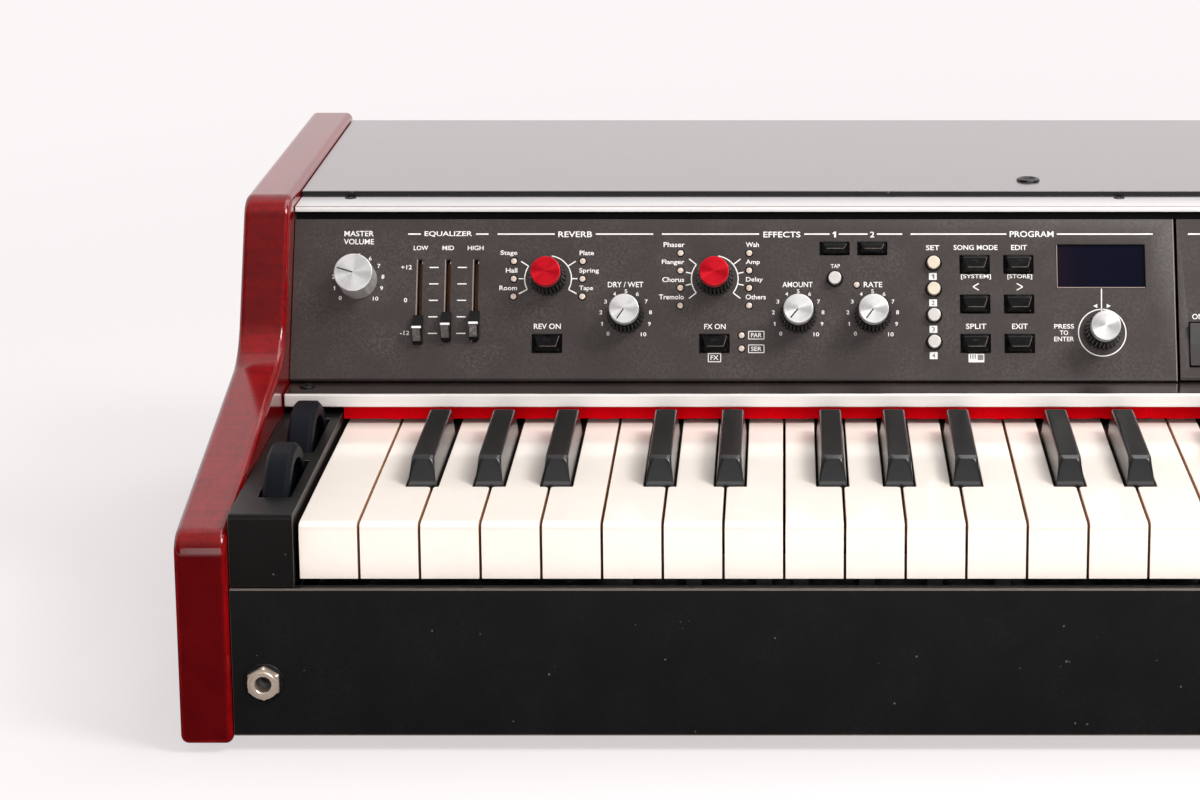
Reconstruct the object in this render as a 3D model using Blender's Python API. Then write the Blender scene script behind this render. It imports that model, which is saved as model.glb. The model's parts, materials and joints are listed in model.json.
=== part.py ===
"""Stage piano with 73 keys from E to E.

Wooden side panels carry a folded steel lower case, a keybed, a sloping control panel with two sound
modules beside it, a metal key rail with a felt strip, a top trim and a folded top cover.  A box at the
left of the keys holds two thumb wheels.  One octave of keys can be played; the other keys are one
piece with the keybed.

All lengths are millimetres; the objects are made in metres.  +X runs to the right along the keys, +Y
to the back and +Z up.  The origin is on the floor below the middle of the instrument.
Profiles are drawn as (depth, height): depth is measured back from the front of the white keys and
height from their tops.  On the control panel a place is (x, s): along the panel and up its slope.
"""
import math

import bmesh
import bpy
from mathutils import Matrix, Vector

MM = 0.001
GAP = 0.3                    # left between pieces that touch

# Keys
FIRST_NOTE = 28              # low E, counted in semitones
KEY_COUNT = 73
SHARP_NOTES = (1, 3, 6, 8, 10)
SHARP_SHIFT = {1: -2.9, 3: 1.8, 6: -4.1, 8: -0.8, 10: 2.7}
NOTE_NAMES = ("c", "c_sharp", "d", "d_sharp", "e", "f", "f_sharp", "g", "g_sharp", "a", "a_sharp", "b")
PLAYED_NOTES = range(36, 48)
WHITE_PITCH = 23.5
KEY_GAP = 1.0
NOTCH_GAP = 0.8
WHITE_SKIRT = 22.5           # height of a white key's front
SKIRT_DEPTH = 12.0
KEY_BODY = 14.0              # height of a key behind its skirt
KEY_WALL = 2.2
KEY_CEILING = 3.0
KEY_EDGE = 0.8
SHARP_FRONT = 48.0
SHARP_WIDTH = 11.5
SHARP_TOP_WIDTH = 9.2
SHARP_HEIGHT = 11.3
SHARP_SLOPE = 4.5            # how far the top starts behind the foot
SHARP_CAP_LENGTH = 75.0
SHARP_SUNK = 1.0             # the tail of a sharp lies below the white tops
PIVOT_DEPTH = 205.0
PIVOT_RADIUS = 6.5
HOOK_DEPTH = 75.0            # the cross rib that carries a key's stop hook
HOOK_THICKNESS = 3.0
HOOK_WIDTH = 5.0
HOOK_REACH = 7.0

# Keybed
KEYBED_INSET = 2.25          # the keybed ends this much inside the outer keys
PLATE_TOP = -36.3
PLATE_FRONT = 18.0
PLATE_BACK = 72.0
PLATE_SHEET = 2.0
POST_TOP = -13.5
POST_DEPTH = 6.0
WHITE_POST = (26.0, 6.0)     # depth of its front, and its width
SHARP_POST = (58.0, 4.0)
BEAM_SPACING = 200.0
BEAM_INSET = 3.0
BEAM_THICKNESS = 3.0
BLOCK_BEHIND = 19.0          # the pivot rail reaches this far behind the pivot
BLOCK_TOP = 4.0
BLOCK_HEIGHT = 24.0

# Case
KEY_TOP = 91.0               # height of the white keys above the floor
CASE_FRONT = -6.0
SIDE_FRONT = -9.0
SIDE_BACK = 380.0
SIDE_TOP = 91.0
SIDE_BOTTOM = -87.5
SIDE_THICKNESS = 20.3
SIDE_EDGE = 3.0
ARM_BEND = (146.3, 28.3)     # where the arm's top line meets the upright's front line
SHOULDER_DEPTH = 175.6
CHEEK_TO_KEY = 1.15
CHEEK_WIDTH = 24.9
CHEEK_TOP = 4.5
CHEEK_FRONT = -3.8
CHEEK_BACK = 150.0
CHEEK_WALL = 2.0
SHEET = 1.5
FRONT_TOP = -24.5
CASE_BOTTOM = -84.5
CASE_BACK = 372.0
FLANGE = 12.0
FOOT_RADIUS = 11.0
FOOT_INSET = 61.3
FOOT_BEHIND_FRONT = 46.0
FOOT_BEFORE_BACK = 37.0

# Key rail and felt
RAIL_FRONT = 137.5
RAIL_TOP = 13.3
RAIL_LIP = 7.2
RAIL_SHEET = 2.0
FELT_THICKNESS = 4.0
FELT_CLEAR = 0.8

# Control panel and sound modules
PANEL_FOOT = 155.0
PANEL_SLOPE = math.radians(65.0)
PANEL_TOP = 82.5
PANEL_SHEET = 2.0
PANEL_FLANGE = 16.0
MAIN_WIDTH = 384.3
PANEL_GAP = 1.3

# Top trim, cover and rear panel
TRIM_FRONT = 185.3
TRIM_SHEET = 2.05
TRIM_LIP = 1.4
TRIM_DEPTH = 29.0
COVER_FRONT = 204.8
COVER_HEM = 8.0
COVER_HEM_HEIGHT = 2.45
COVER_REAR_DROP = 17.6
SOCKET_HEIGHT = -40.0
REAR_JACKS = (-90.0, -65.0, -40.0, -15.0)
USB_PLACE = 12.0
INLET_PLACE = 45.0
POWER_PLACE = 80.0
JACK_BORE = 3.25
JACK_COLLAR = 5.2
JACK_BLOCK = 14.0
JACK_DEPTH = 24.0
SOCKET_MARGIN = 16.0
SOCKET_PLATE_SHEET = 1.2
SOCKET_PLATE_HEIGHT = 30.0
SOCKET_PLATE_LAP = 4.0       # the socket plate covers this much round the opening of the rear sheet
SOCKET_PROUD = 0.6
COLLAR_PROUD = 1.5
USB_SIZE = (12.0, 10.8)
USB_OPENING = (8.6, 7.8)
INLET_SIZE = (24.0, 14.0)
INLET_OPENING = (19.5, 9.0)
HEADPHONE_PLACE = (-519.0, -62.5)

# Circuit board
BOARD_WIDTH = 380.0
BOARD_LENGTH = 95.0
BOARD_PLACE = 50.0
BOARD_CLEAR = 21.0
BOARD_RAISED = 9.0
BOARD_SHEET = 1.6
BOARD_PILLAR = 3.5
SUPPLY_SIZE = (90.0, 60.0, 34.0)
SUPPLY_INSET = 20.0
CHIP_SIZE = 24.0
CHIP_HEIGHT = 2.0
CHIP_SPACING = 50.0
CAPACITOR_RADIUS = 6.0
CAPACITOR_HEIGHT = 18.0

# Controls
SHAFT_RADIUS = 3.0
BORE_CLEARANCE = 0.4
POT_RADIUS = 8.0
POT_DEPTH = 10.0
KNOB_FOOT = 0.5
KNOB_HEIGHT = 17.8
KNOB_RADIUS = 8.0
KNOB_CAP_RADIUS = 6.5
KNOB_CAP_HEIGHT = 4.6
KNOB_RIBS = 9
VOLUME_RADIUS = 8.5          # the volume knob is metal all over and has no ribs
VOLUME_TAPER = 0.6
KNOB_ROWS = {
    "knob_volume": ("volume", 45.0), "knob_reverb": ("reverb", 45.7), "knob_reverb_level": ("level", 29.2),
    "knob_effect": ("effect", 45.7), "knob_effect_amount": ("amount", 29.2), "knob_effect_rate": ("rate", 29.2),
}
ENCODER_ROW = 21.8
ENCODER_TRAVEL = 0.8
BUTTON_SIZE = (12.7, 8.0)
SMALL_BUTTON_SIZE = (12.6, 5.6)
BUTTON_RISE = 3.0
BUTTON_TILT = 1.2            # the lower edge stands this much prouder than the upper
BUTTON_TAPER = 1.0
BUTTON_TRAVEL = 1.0
BUTTON_FLANGE = 0.8
BUTTON_ROWS = {
    "button_reverb": ("reverb", 17.1), "button_effect": ("effect", 17.1),
    "button_song": ("song", 52.1), "button_edit": ("edit", 52.1),
    "button_back": ("song", 34.5), "button_next": ("edit", 34.5),
    "button_split": ("song", 17.1), "button_exit": ("edit", 17.1),
}
SMALL_BUTTON_ROWS = {"button_effect_1": ("tap", 59.2), "button_effect_2": ("rate", 59.2)}
ROUND_BUTTON_RADIUS = 2.8
ROUND_BUTTON_RISE = 3.6
ROUND_BUTTON_ROWS = {
    "button_tap": ("tap", 45.6), "button_set_1": ("set", 52.5), "button_set_2": ("set", 40.9),
    "button_set_3": ("set", 29.3), "button_set_4": ("set", 17.5),
}
DISPLAY_ROW = 51.3
DISPLAY_SIZE = (39.0, 19.8)
DISPLAY_RECESS = 1.4
DISPLAY_RIM = 2.5
SWITCH_BOARD_MARGIN = 15.0
SWITCH_BOARD_EDGE = 10.0
SLIDER_ROWS = {"slider_low": ("low", 22.7), "slider_mid": ("mid", 24.1), "slider_high": ("high", 24.6)}
SLIDER_MIDDLE = 36.1
SLIDER_TRAVEL = 29.2
SLOT_WIDTH = 2.4
STEM_SIZE = (1.6, 7.0)
CAP_SIZE = (4.1, 12.8)
CAP_HEIGHT = 8.5
ROCKER_PLACE = (9.4, 16.6)
ROCKER_SIZE = (10.0, 18.5)
ROCKER_PIVOT = 1.0
ROCKER_TILT = math.radians(6.0)
MODULE_KNOBS = ((62.0, 45.7), (104.0, 29.2), (146.0, 45.7), (188.0, 29.2), (250.0, 45.7), (292.0, 29.2))

# Where each column of controls stands, as a share of the main panel's width
COLUMN_SHARES = {
    "volume": 0.0736, "low": 0.1434, "mid": 0.1754, "high": 0.2071, "reverb": 0.2890, "level": 0.3776,
    "effect": 0.4781, "amount": 0.5727, "tap": 0.6142, "rate": 0.6570, "set": 0.7263, "song": 0.7731,
    "edit": 0.8228, "display": 0.9162,
}

# Thumb wheels
WHEEL_DEPTHS = {"wheel_pitch": 44.0, "wheel_mod": 105.0}
WHEEL_RADIUS = 26.7
WHEEL_WIDTH = 10.4
WHEEL_CHAMFER = 1.1
WHEEL_RIM = 5.5
WHEEL_WEB = 4.0
WHEEL_DROP = 12.7            # axle below the top of the box
AXLE_RADIUS = 3.0
AXLE_HALF = 8.9
WHEEL_SLOT_WIDTH = 13.1
WHEEL_PLACE = 14.45          # middle of the wheels, from the outer end of the box

# Worked out from the sizes above
NOTES = range(FIRST_NOTE, FIRST_NOTE + KEY_COUNT)
WHITE_COUNT = sum(note % 12 not in SHARP_NOTES for note in NOTES)
KEYS_HALF = WHITE_COUNT * WHITE_PITCH / 2
CHEEK_INNER = KEYS_HALF + CHEEK_TO_KEY
FIT_HALF = CHEEK_INNER + CHEEK_WIDTH
INNER_HALF = FIT_HALF + GAP
KEYBED_HALF = KEYS_HALF - KEYBED_INSET
BEAM_END = KEYBED_HALF - BEAM_INSET
BEAM_PLACES = (-BEAM_END, -BEAM_SPACING, 0.0, BEAM_SPACING, BEAM_END)
FOOT_HALF = FIT_HALF - FOOT_INSET
FOOT_DEPTHS = (CASE_FRONT + FOOT_BEHIND_FRONT, CASE_BACK - FOOT_BEFORE_BACK)
MIDDLE_DEPTH = (SIDE_FRONT + SIDE_BACK) / 2
CASE_FLOOR = CASE_BOTTOM + SHEET + GAP
PANEL_BOTTOM = RAIL_TOP + GAP
PANEL_LENGTH = (PANEL_TOP - PANEL_BOTTOM) / math.sin(PANEL_SLOPE)
MODULE_LEFT = -FIT_HALF + MAIN_WIDTH + PANEL_GAP
MODULE_WIDTH = (FIT_HALF - MODULE_LEFT - PANEL_GAP) / 2
TRIM_BOTTOM = PANEL_TOP + GAP
TRIM_TOP = TRIM_BOTTOM + TRIM_SHEET
COVER_BOTTOM = TRIM_TOP + GAP
COVER_TOP = COVER_BOTTOM + COVER_HEM_HEIGHT
REAR_FRONT = CASE_BACK + GAP
REAR_BACK = REAR_FRONT + SHEET
COVER_BACK = REAR_BACK + GAP + SHEET
BARREL_HEIGHT = -KEY_BODY + PIVOT_RADIUS
BLOCK_FRONT = PIVOT_DEPTH - 3
BLOCK_BACK = PIVOT_DEPTH + BLOCK_BEHIND
BOARD_FRONT = BLOCK_BACK + BOARD_CLEAR
SOCKET_LEFT = REAR_JACKS[0] - SOCKET_MARGIN
SOCKET_RIGHT = POWER_PLACE + SOCKET_MARGIN
SOCKET_WIDTH = SOCKET_RIGHT - SOCKET_LEFT
SOCKET_MIDDLE = (SOCKET_LEFT + SOCKET_RIGHT) / 2
SOCKET_FACE = GAP + SOCKET_PLATE_SHEET
BLOCK_BOTTOM = BLOCK_TOP - BLOCK_HEIGHT
HOOK_FOOT_TOP = PLATE_TOP - PLATE_SHEET - GAP
WHEEL_HEIGHT = CHEEK_TOP - WHEEL_DROP
KNOB_SHAFT_END = -POT_DEPTH + 1.0
BOARD_TOP = -POT_DEPTH - GAP
COLUMNS = {name: share * MAIN_WIDTH for name, share in COLUMN_SHARES.items()}
KNOB_PLACES = {name: (COLUMNS[column], row) for name, (column, row) in KNOB_ROWS.items()}
BUTTON_PLACES = {name: (COLUMNS[column], row) for name, (column, row) in BUTTON_ROWS.items()}
SMALL_BUTTON_PLACES = {name: (COLUMNS[column], row) for name, (column, row) in SMALL_BUTTON_ROWS.items()}
ROUND_BUTTON_PLACES = {name: (COLUMNS[column], row) for name, (column, row) in ROUND_BUTTON_ROWS.items()}
SLIDER_PLACES = {name: (COLUMNS[column], row) for name, (column, row) in SLIDER_ROWS.items()}
ENCODER_PLACE = (COLUMNS["display"], ENCODER_ROW)
DISPLAY_PLACE = (COLUMNS["display"], DISPLAY_ROW)


def paint(name, colour, roughness, metallic=0.0):
    """A plain material with one colour, roughness and metallic value."""
    material = bpy.data.materials.new(name)
    material.use_nodes = True
    shader = material.node_tree.nodes["Principled BSDF"]
    shader.inputs["Base Color"].default_value = (*colour, 1.0)
    shader.inputs["Roughness"].default_value = roughness
    shader.inputs["Metallic"].default_value = metallic
    material.diffuse_color = (*colour, 1.0)
    return material


def make_object(name, bm, look, at=(0, 0, 0), smooth=0):
    """Turn a bmesh drawn in millimetres into an object in metres with its origin at a place."""
    bmesh.ops.recalc_face_normals(bm, faces=bm.faces)
    bmesh.ops.translate(bm, vec=-Vector(at), verts=bm.verts)
    bmesh.ops.scale(bm, vec=(MM, MM, MM), verts=bm.verts)
    mesh = bpy.data.meshes.new(name)
    bm.to_mesh(mesh)
    bm.free()
    if smooth:
        mesh.shade_smooth()
        mesh.set_sharp_from_angle(angle=math.radians(smooth))
    piece = bpy.data.objects.new(name, mesh)
    piece.location = Vector(at) * MM
    bpy.context.scene.collection.objects.link(piece)
    if look:
        mesh.materials.append(paint(name, *look))
    return piece


def combine(piece, bm, operation):
    """Cut a tool out of a piece, or add it to the piece."""
    tool = make_object(f"tool_{piece.name}_{len(piece.modifiers)}", bm, None)
    tool.display_type = "WIRE"
    tool.hide_render = True
    step = piece.modifiers.new(operation.lower(), "BOOLEAN")
    step.operation = operation
    step.solver = "EXACT"
    step.object = tool


def bevel(piece, width, segments=2, angle=40.0):
    """Round a piece's sharp edges."""
    step = piece.modifiers.new("bevel", "BEVEL")
    step.width = width * MM
    step.segments = segments
    step.limit_method = "ANGLE"
    step.angle_limit = math.radians(angle)


def along_x(u, v, w):
    """Place a (depth, height) profile at a distance along X."""
    return (w, u - MIDDLE_DEPTH, v + KEY_TOP)


def facing_front(u, v, w):
    """Place an (x, height) outline at a depth."""
    return (u, w - MIDDLE_DEPTH, v + KEY_TOP)


def level(u, v, w):
    """Place an (x, depth) outline at a height."""
    return (u, v - MIDDLE_DEPTH, w + KEY_TOP)


def on_panel(u, v, w):
    """Place a point of the panel: along it, up its slope and out of its face."""
    depth = PANEL_FOOT + v * math.cos(PANEL_SLOPE) - w * math.sin(PANEL_SLOPE)
    height = PANEL_BOTTOM + v * math.sin(PANEL_SLOPE) + w * math.cos(PANEL_SLOPE)
    return (u - FIT_HALF, depth - MIDDLE_DEPTH, height + KEY_TOP)


def on_rear(u, v, w):
    """Place a point of the rear panel: along it, up it and out of its face."""
    return (u, REAR_BACK + w - MIDDLE_DEPTH, v + KEY_TOP)


def on_socket_plate(u, v, w):
    """Place a point of the socket plate, out of its face."""
    return on_rear(u, v, w + SOCKET_FACE)


def rounded(corners, steps=4):
    """Outline whose (u, v, radius) corners become arcs that touch both of their sides."""
    outline = []
    for index, (u, v, radius) in enumerate(corners):
        corner = Vector((u, v))
        if radius == 0:
            outline.append(corner)
            continue
        before = (Vector(corners[index - 1][:2]) - corner).normalized()
        after = (Vector(corners[(index + 1) % len(corners)][:2]) - corner).normalized()
        half = before.angle(after) / 2
        centre = corner + (before + after).normalized() * radius / math.sin(half)
        start = corner + before * radius / math.tan(half) - centre
        end = corner + after * radius / math.tan(half) - centre
        sweep = math.atan2(start.x * end.y - start.y * end.x, start.dot(end))
        for step in range(steps + 1):
            turn = Matrix.Rotation(sweep * step / steps, 2)
            outline.append(centre + turn @ start)
    return outline


def folded(path, thickness):
    """Outline of a bent sheet: its path, and the path again one thickness to the left."""
    points = [Vector(point) for point in path]
    runs = [(b - a).normalized() for a, b in zip(points, points[1:])]
    sides = [Vector((-run.y, run.x)) for run in runs]
    inner = []
    for index, point in enumerate(points):
        first = sides[max(index - 1, 0)]
        second = sides[min(index, len(sides) - 1)]
        middle = first + second
        inner.append(point + middle * thickness / middle.dot(first))
    return points + inner[::-1]


def rectangle(width, height, x=0.0, y=0.0):
    """Four corners about a middle point."""
    w, h = width / 2, height / 2
    return [(x - w, y - h), (x + w, y - h), (x + w, y + h), (x - w, y + h)]


def ring(radius, count, x=0.0, y=0.0, ribs=0.0):
    """Circle of points; with ribs, every second point lies that much further in."""
    points = []
    for index in range(count):
        angle = 2 * math.pi * (index + 0.5) / count
        reach = radius - ribs * (index % 2)
        points.append((x + reach * math.cos(angle), y + reach * math.sin(angle)))
    return points


def add_loft(bm, rings, place):
    """A closed skin through rings of (u, v, w) points that all have as many points."""
    made = [[bm.verts.new(place(*point)) for point in points] for points in rings]
    bm.faces.new(made[0])
    bm.faces.new(made[-1][::-1])
    count = len(made[0])
    for low, high in zip(made, made[1:]):
        for index in range(count):
            after = (index + 1) % count
            bm.faces.new((low[index], high[index], high[after], low[after]))


def at_level(outline, w):
    """Give a flat outline its third coordinate."""
    return [(u, v, w) for u, v in outline]


def add_prism(bm, outline, low, high, place):
    """A closed prism between two copies of an outline."""
    add_loft(bm, (at_level(outline, low), at_level(outline, high)), place)


def add_box(bm, x, depth, height):
    """A box from its (low, high) ranges along X, in depth and in height."""
    outline = ((depth[0], height[0]), (depth[1], height[0]), (depth[1], height[1]), (depth[0], height[1]))
    add_prism(bm, outline, x[0], x[1], along_x)


def white_before(note):
    """How many white keys lie left of a note."""
    return sum(n % 12 not in SHARP_NOTES for n in range(FIRST_NOTE, note))


def sharp_centre(note):
    """Middle of a sharp: the line between its white keys, moved by its own shift."""
    return -KEYS_HALF + white_before(note) * WHITE_PITCH + SHARP_SHIFT[note % 12]


def white_sides(note):
    """Left and right side of a white key's head, then of its stem between the sharps."""
    left = -KEYS_HALF + white_before(note) * WHITE_PITCH + KEY_GAP / 2
    right = left + WHITE_PITCH - KEY_GAP
    stem_left, stem_right = left, right
    reach = SHARP_WIDTH / 2 + NOTCH_GAP
    if note - 1 in NOTES and (note - 1) % 12 in SHARP_NOTES:
        stem_left = sharp_centre(note - 1) + reach
    if note + 1 in NOTES and (note + 1) % 12 in SHARP_NOTES:
        stem_right = sharp_centre(note + 1) - reach
    return left, right, stem_left, stem_right


def key_rear(played):
    """(depth, bottom, top) of a key's rear end: a barrel, or an end that is sunk into the pivot rail."""
    if not played:
        return [(PIVOT_DEPTH + PIVOT_RADIUS + 2.5, -KEY_BODY - 1, -SHARP_SUNK)]
    rows = []
    for degrees in (0, 35, 65, 82):
        reach = PIVOT_RADIUS * math.sin(math.radians(degrees))
        half = PIVOT_RADIUS * math.cos(math.radians(degrees))
        rows.append((PIVOT_DEPTH + reach, BARREL_HEIGHT - half, BARREL_HEIGHT + half))
    return rows


def add_white_key(bm, note, played):
    """A white key without its hollow: a deep head, a notch for each sharp, a stem and its rear end."""
    left, right, stem_left, stem_right = white_sides(note)
    notch = SHARP_FRONT - NOTCH_GAP
    rows = [
        (0, left, right, -WHITE_SKIRT, -KEY_EDGE),
        (KEY_EDGE, left, right, -WHITE_SKIRT, 0),
        (SKIRT_DEPTH, left, right, -WHITE_SKIRT, 0),
        (SKIRT_DEPTH + 4, left, right, -KEY_BODY, 0),
        (notch - 0.8, left, right, -KEY_BODY, 0),
        (notch, stem_left, stem_right, -KEY_BODY, 0),
    ]
    rows += [(depth, stem_left, stem_right, low, high) for depth, low, high in key_rear(played)]
    rings = []
    for depth, x_low, x_high, low, high in rows:
        rings.append([(x_low, low, depth), (x_high, low, depth), (x_high, high, depth), (x_low, high, depth)])
    add_loft(bm, rings, facing_front)


def add_sharp_key(bm, note, played):
    """A sharp without its hollow: a stem, and a cap that tapers to its top and slopes at its front."""
    centre, half, top_half = sharp_centre(note), SHARP_WIDTH / 2, SHARP_TOP_WIDTH / 2
    cap_end = SHARP_FRONT + SHARP_CAP_LENGTH
    tail = -SHARP_SUNK + 0.3
    rows = [
        (SHARP_FRONT, -KEY_BODY, 0.5, half - 0.5),
        (SHARP_FRONT + 0.7 * SHARP_SLOPE, -KEY_BODY, SHARP_HEIGHT - 1.6, top_half),
        (SHARP_FRONT + 1.4 * SHARP_SLOPE, -KEY_BODY, SHARP_HEIGHT, top_half),
        (cap_end - 3, -KEY_BODY, SHARP_HEIGHT, top_half),
        (cap_end, -KEY_BODY, SHARP_HEIGHT - 2.5, top_half),
        (cap_end + 1, -KEY_BODY, tail, half - 0.5),
    ]
    rows += [(depth, low, high, half - 0.5) for depth, low, high in key_rear(played)]
    rings = []
    for depth, low, high, reach in rows:
        shoulder = min(-SHARP_SUNK, high - 0.3)
        outline = [(half, low), (half, shoulder), (reach, high), (-reach, high), (-half, shoulder), (-half, low)]
        rings.append([(centre + x, height, depth) for x, height in outline])
    add_loft(bm, rings, facing_front)


def add_key_hollows(bm, note):
    """Pockets below a key's top, in front of and behind the rib that carries its hook."""
    front, back = HOOK_DEPTH, HOOK_DEPTH + HOOK_THICKNESS
    if note % 12 in SHARP_NOTES:
        low = sharp_centre(note) - SHARP_WIDTH / 2 + KEY_WALL
        high = low + SHARP_WIDTH - 2 * KEY_WALL
        ceiling = -SHARP_SUNK - KEY_CEILING
        first = [(SHARP_FRONT + KEY_WALL, low, high), (front, low, high)]
    else:
        left, right, stem_left, stem_right = white_sides(note)
        low, high = stem_left + KEY_WALL, stem_right - KEY_WALL
        ceiling = -KEY_CEILING
        notch = SHARP_FRONT - NOTCH_GAP - KEY_WALL
        first = [(KEY_WALL, left + KEY_WALL, right - KEY_WALL), (notch - 1, left + KEY_WALL, right - KEY_WALL),
                 (notch, low, high), (front, low, high)]
    second = [(back, low, high), (PIVOT_DEPTH - 3 * PIVOT_RADIUS, low, high)]
    floor = -WHITE_SKIRT - 5
    for rows in (first, second):
        rings = []
        for depth, x_low, x_high in rows:
            rings.append([(x_low, floor, depth), (x_high, floor, depth),
                          (x_high, ceiling, depth), (x_low, ceiling, depth)])
        add_loft(bm, rings, facing_front)


def key_middle(note):
    """Middle of a key's stem along X."""
    if note % 12 in SHARP_NOTES:
        return sharp_centre(note)
    return sum(white_sides(note)[2:]) / 2


def add_hook(bm, note):
    """The hook below a key: its foot lies under the guide plate and stops the key at rest."""
    front, back = HOOK_DEPTH, HOOK_DEPTH + HOOK_THICKNESS
    foot = HOOK_FOOT_TOP - 2.4
    outline = ((front, -KEY_BODY + 4), (front, HOOK_FOOT_TOP), (front - HOOK_REACH, HOOK_FOOT_TOP),
               (front - HOOK_REACH, foot), (back, foot), (back, -KEY_BODY + 4))
    middle = key_middle(note)
    add_prism(bm, outline, middle - HOOK_WIDTH / 2, middle + HOOK_WIDTH / 2, along_x)


def add_key(bm, note, played):
    """A key of either kind."""
    if note % 12 in SHARP_NOTES:
        add_sharp_key(bm, note, played)
    else:
        add_white_key(bm, note, played)


def key_look(note):
    """Colour, roughness and metallic value of a key."""
    if note % 12 in SHARP_NOTES:
        return (0.012, 0.012, 0.013), 0.3
    return (0.86, 0.85, 0.8), 0.2


def build_played_keys():
    """The octave of keys that turn about the pivot line."""
    for note in PLAYED_NOTES:
        bm = bmesh.new()
        add_key(bm, note, True)
        origin = along_x(PIVOT_DEPTH, BARREL_HEIGHT, key_middle(note))
        key = make_object(f"key_{NOTE_NAMES[note % 12]}", bm, key_look(note), origin)
        hollows = bmesh.new()
        add_key_hollows(hollows, note)
        combine(key, hollows, "DIFFERENCE")
        hook = bmesh.new()
        add_hook(hook, note)
        combine(key, hook, "UNION")


def seat_outline():
    """Section cut out of the pivot rail: a round seat for the barrels of the keys, open to the front."""
    seat = PIVOT_RADIUS + GAP
    outline = [(BLOCK_FRONT - 1, BLOCK_TOP + 1), (BLOCK_FRONT - 1, BARREL_HEIGHT - seat)]
    for degrees in range(-90, 31, 20):
        angle = math.radians(degrees)
        outline.append((PIVOT_DEPTH + seat * math.cos(angle), BARREL_HEIGHT + seat * math.sin(angle)))
    outline.append((PIVOT_DEPTH + seat, BLOCK_TOP + 1))
    return outline


def build_keybed():
    """Guide plate with posts, beams that stand on the case, the pivot rail and the unplayed keys."""
    plate = bmesh.new()
    path = ((PLATE_FRONT, PLATE_TOP - 14), (PLATE_FRONT, PLATE_TOP), (PLATE_BACK, PLATE_TOP))
    add_prism(plate, folded(path[::-1], PLATE_SHEET), -KEYBED_HALF, KEYBED_HALF, along_x)
    keybed = make_object("keybed", plate, ((0.3, 0.3, 0.31), 0.5, 0.9))
    beams = bmesh.new()
    outline = ((PLATE_FRONT + 1, CASE_FLOOR), (BLOCK_BACK - 2, CASE_FLOOR), (BLOCK_BACK - 2, BLOCK_BOTTOM + 2),
               (BLOCK_FRONT + 1, BLOCK_BOTTOM + 2), (BLOCK_FRONT - 6, PLATE_TOP - 8),
               (PLATE_BACK + 1, PLATE_TOP - 8), (PLATE_BACK - 6, PLATE_TOP - 1), (PLATE_FRONT + 1, PLATE_TOP - 1))
    for x in BEAM_PLACES:
        add_prism(beams, outline, x - BEAM_THICKNESS / 2, x + BEAM_THICKNESS / 2, along_x)
    combine(keybed, beams, "UNION")
    rail, seat = bmesh.new(), bmesh.new()
    add_box(rail, (-KEYBED_HALF, KEYBED_HALF), (BLOCK_FRONT, BLOCK_BACK), (BLOCK_BOTTOM, BLOCK_TOP))
    combine(keybed, rail, "UNION")
    low = white_sides(PLAYED_NOTES[0])[0] - KEY_GAP / 2
    high = white_sides(PLAYED_NOTES[-1])[1] + KEY_GAP / 2
    add_prism(seat, seat_outline(), low, high, along_x)
    combine(keybed, seat, "DIFFERENCE")
    posts, whites, sharps = bmesh.new(), bmesh.new(), bmesh.new()
    for note in NOTES:
        is_sharp = note % 12 in SHARP_NOTES
        if note not in PLAYED_NOTES:
            add_key(sharps if is_sharp else whites, note, False)
            continue
        front, width = SHARP_POST if is_sharp else WHITE_POST
        middle = key_middle(note)
        add_box(posts, (middle - width / 2, middle + width / 2), (front, front + POST_DEPTH),
                (PLATE_TOP - 1, POST_TOP))
    combine(keybed, whites, "UNION")
    combine(keybed, sharps, "UNION")
    combine(keybed, posts, "UNION")


def build_sides():
    """The wooden sides: an arm beside the keys, and an upright as steep as the control panel."""
    corners = ((SIDE_FRONT, SIDE_BOTTOM, 3), (SIDE_BACK, SIDE_BOTTOM, 3), (SIDE_BACK, SIDE_TOP, 3),
               (SHOULDER_DEPTH, SIDE_TOP, 12), (*ARM_BEND, 27), (SIDE_FRONT, -2.8, 10))
    for name, low in (("side_left", -INNER_HALF - SIDE_THICKNESS), ("side_right", INNER_HALF)):
        bm = bmesh.new()
        add_prism(bm, rounded(corners), low, low + SIDE_THICKNESS, along_x)
        side = make_object(name, bm, ((0.16, 0.008, 0.012), 0.25), smooth=30)
        bevel(side, SIDE_EDGE)


def build_lower_case():
    """Folded steel: front face with a turned-in top edge, floor and rear flange, on four rubber feet."""
    bm = bmesh.new()
    path = ((-1.2, FRONT_TOP - 10), (-1.2, FRONT_TOP), (CASE_FRONT, FRONT_TOP), (CASE_FRONT, CASE_BOTTOM),
            (CASE_BACK, CASE_BOTTOM), (CASE_BACK, CASE_BOTTOM + FLANGE))
    add_prism(bm, folded(path, SHEET), -FIT_HALF, FIT_HALF, along_x)
    case = make_object("lower_case", bm, ((0.02, 0.02, 0.021), 0.5, 0.2))
    feet = bmesh.new()
    for x in (-FOOT_HALF, FOOT_HALF):
        for depth in FOOT_DEPTHS:
            low, high = ring(FOOT_RADIUS - 1, 12, x, depth), ring(FOOT_RADIUS, 12, x, depth)
            add_loft(feet, (at_level(low, -KEY_TOP), at_level(high, -KEY_TOP + 1.5),
                            at_level(high, CASE_BOTTOM + SHEET / 2)), level)
    combine(case, feet, "UNION")
    hole = bmesh.new()
    outline = ring(JACK_COLLAR + GAP, 20, *HEADPHONE_PLACE)
    add_prism(hole, outline, CASE_FRONT - 3, CASE_FRONT + SHEET + 1, facing_front)
    combine(case, hole, "DIFFERENCE")


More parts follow.
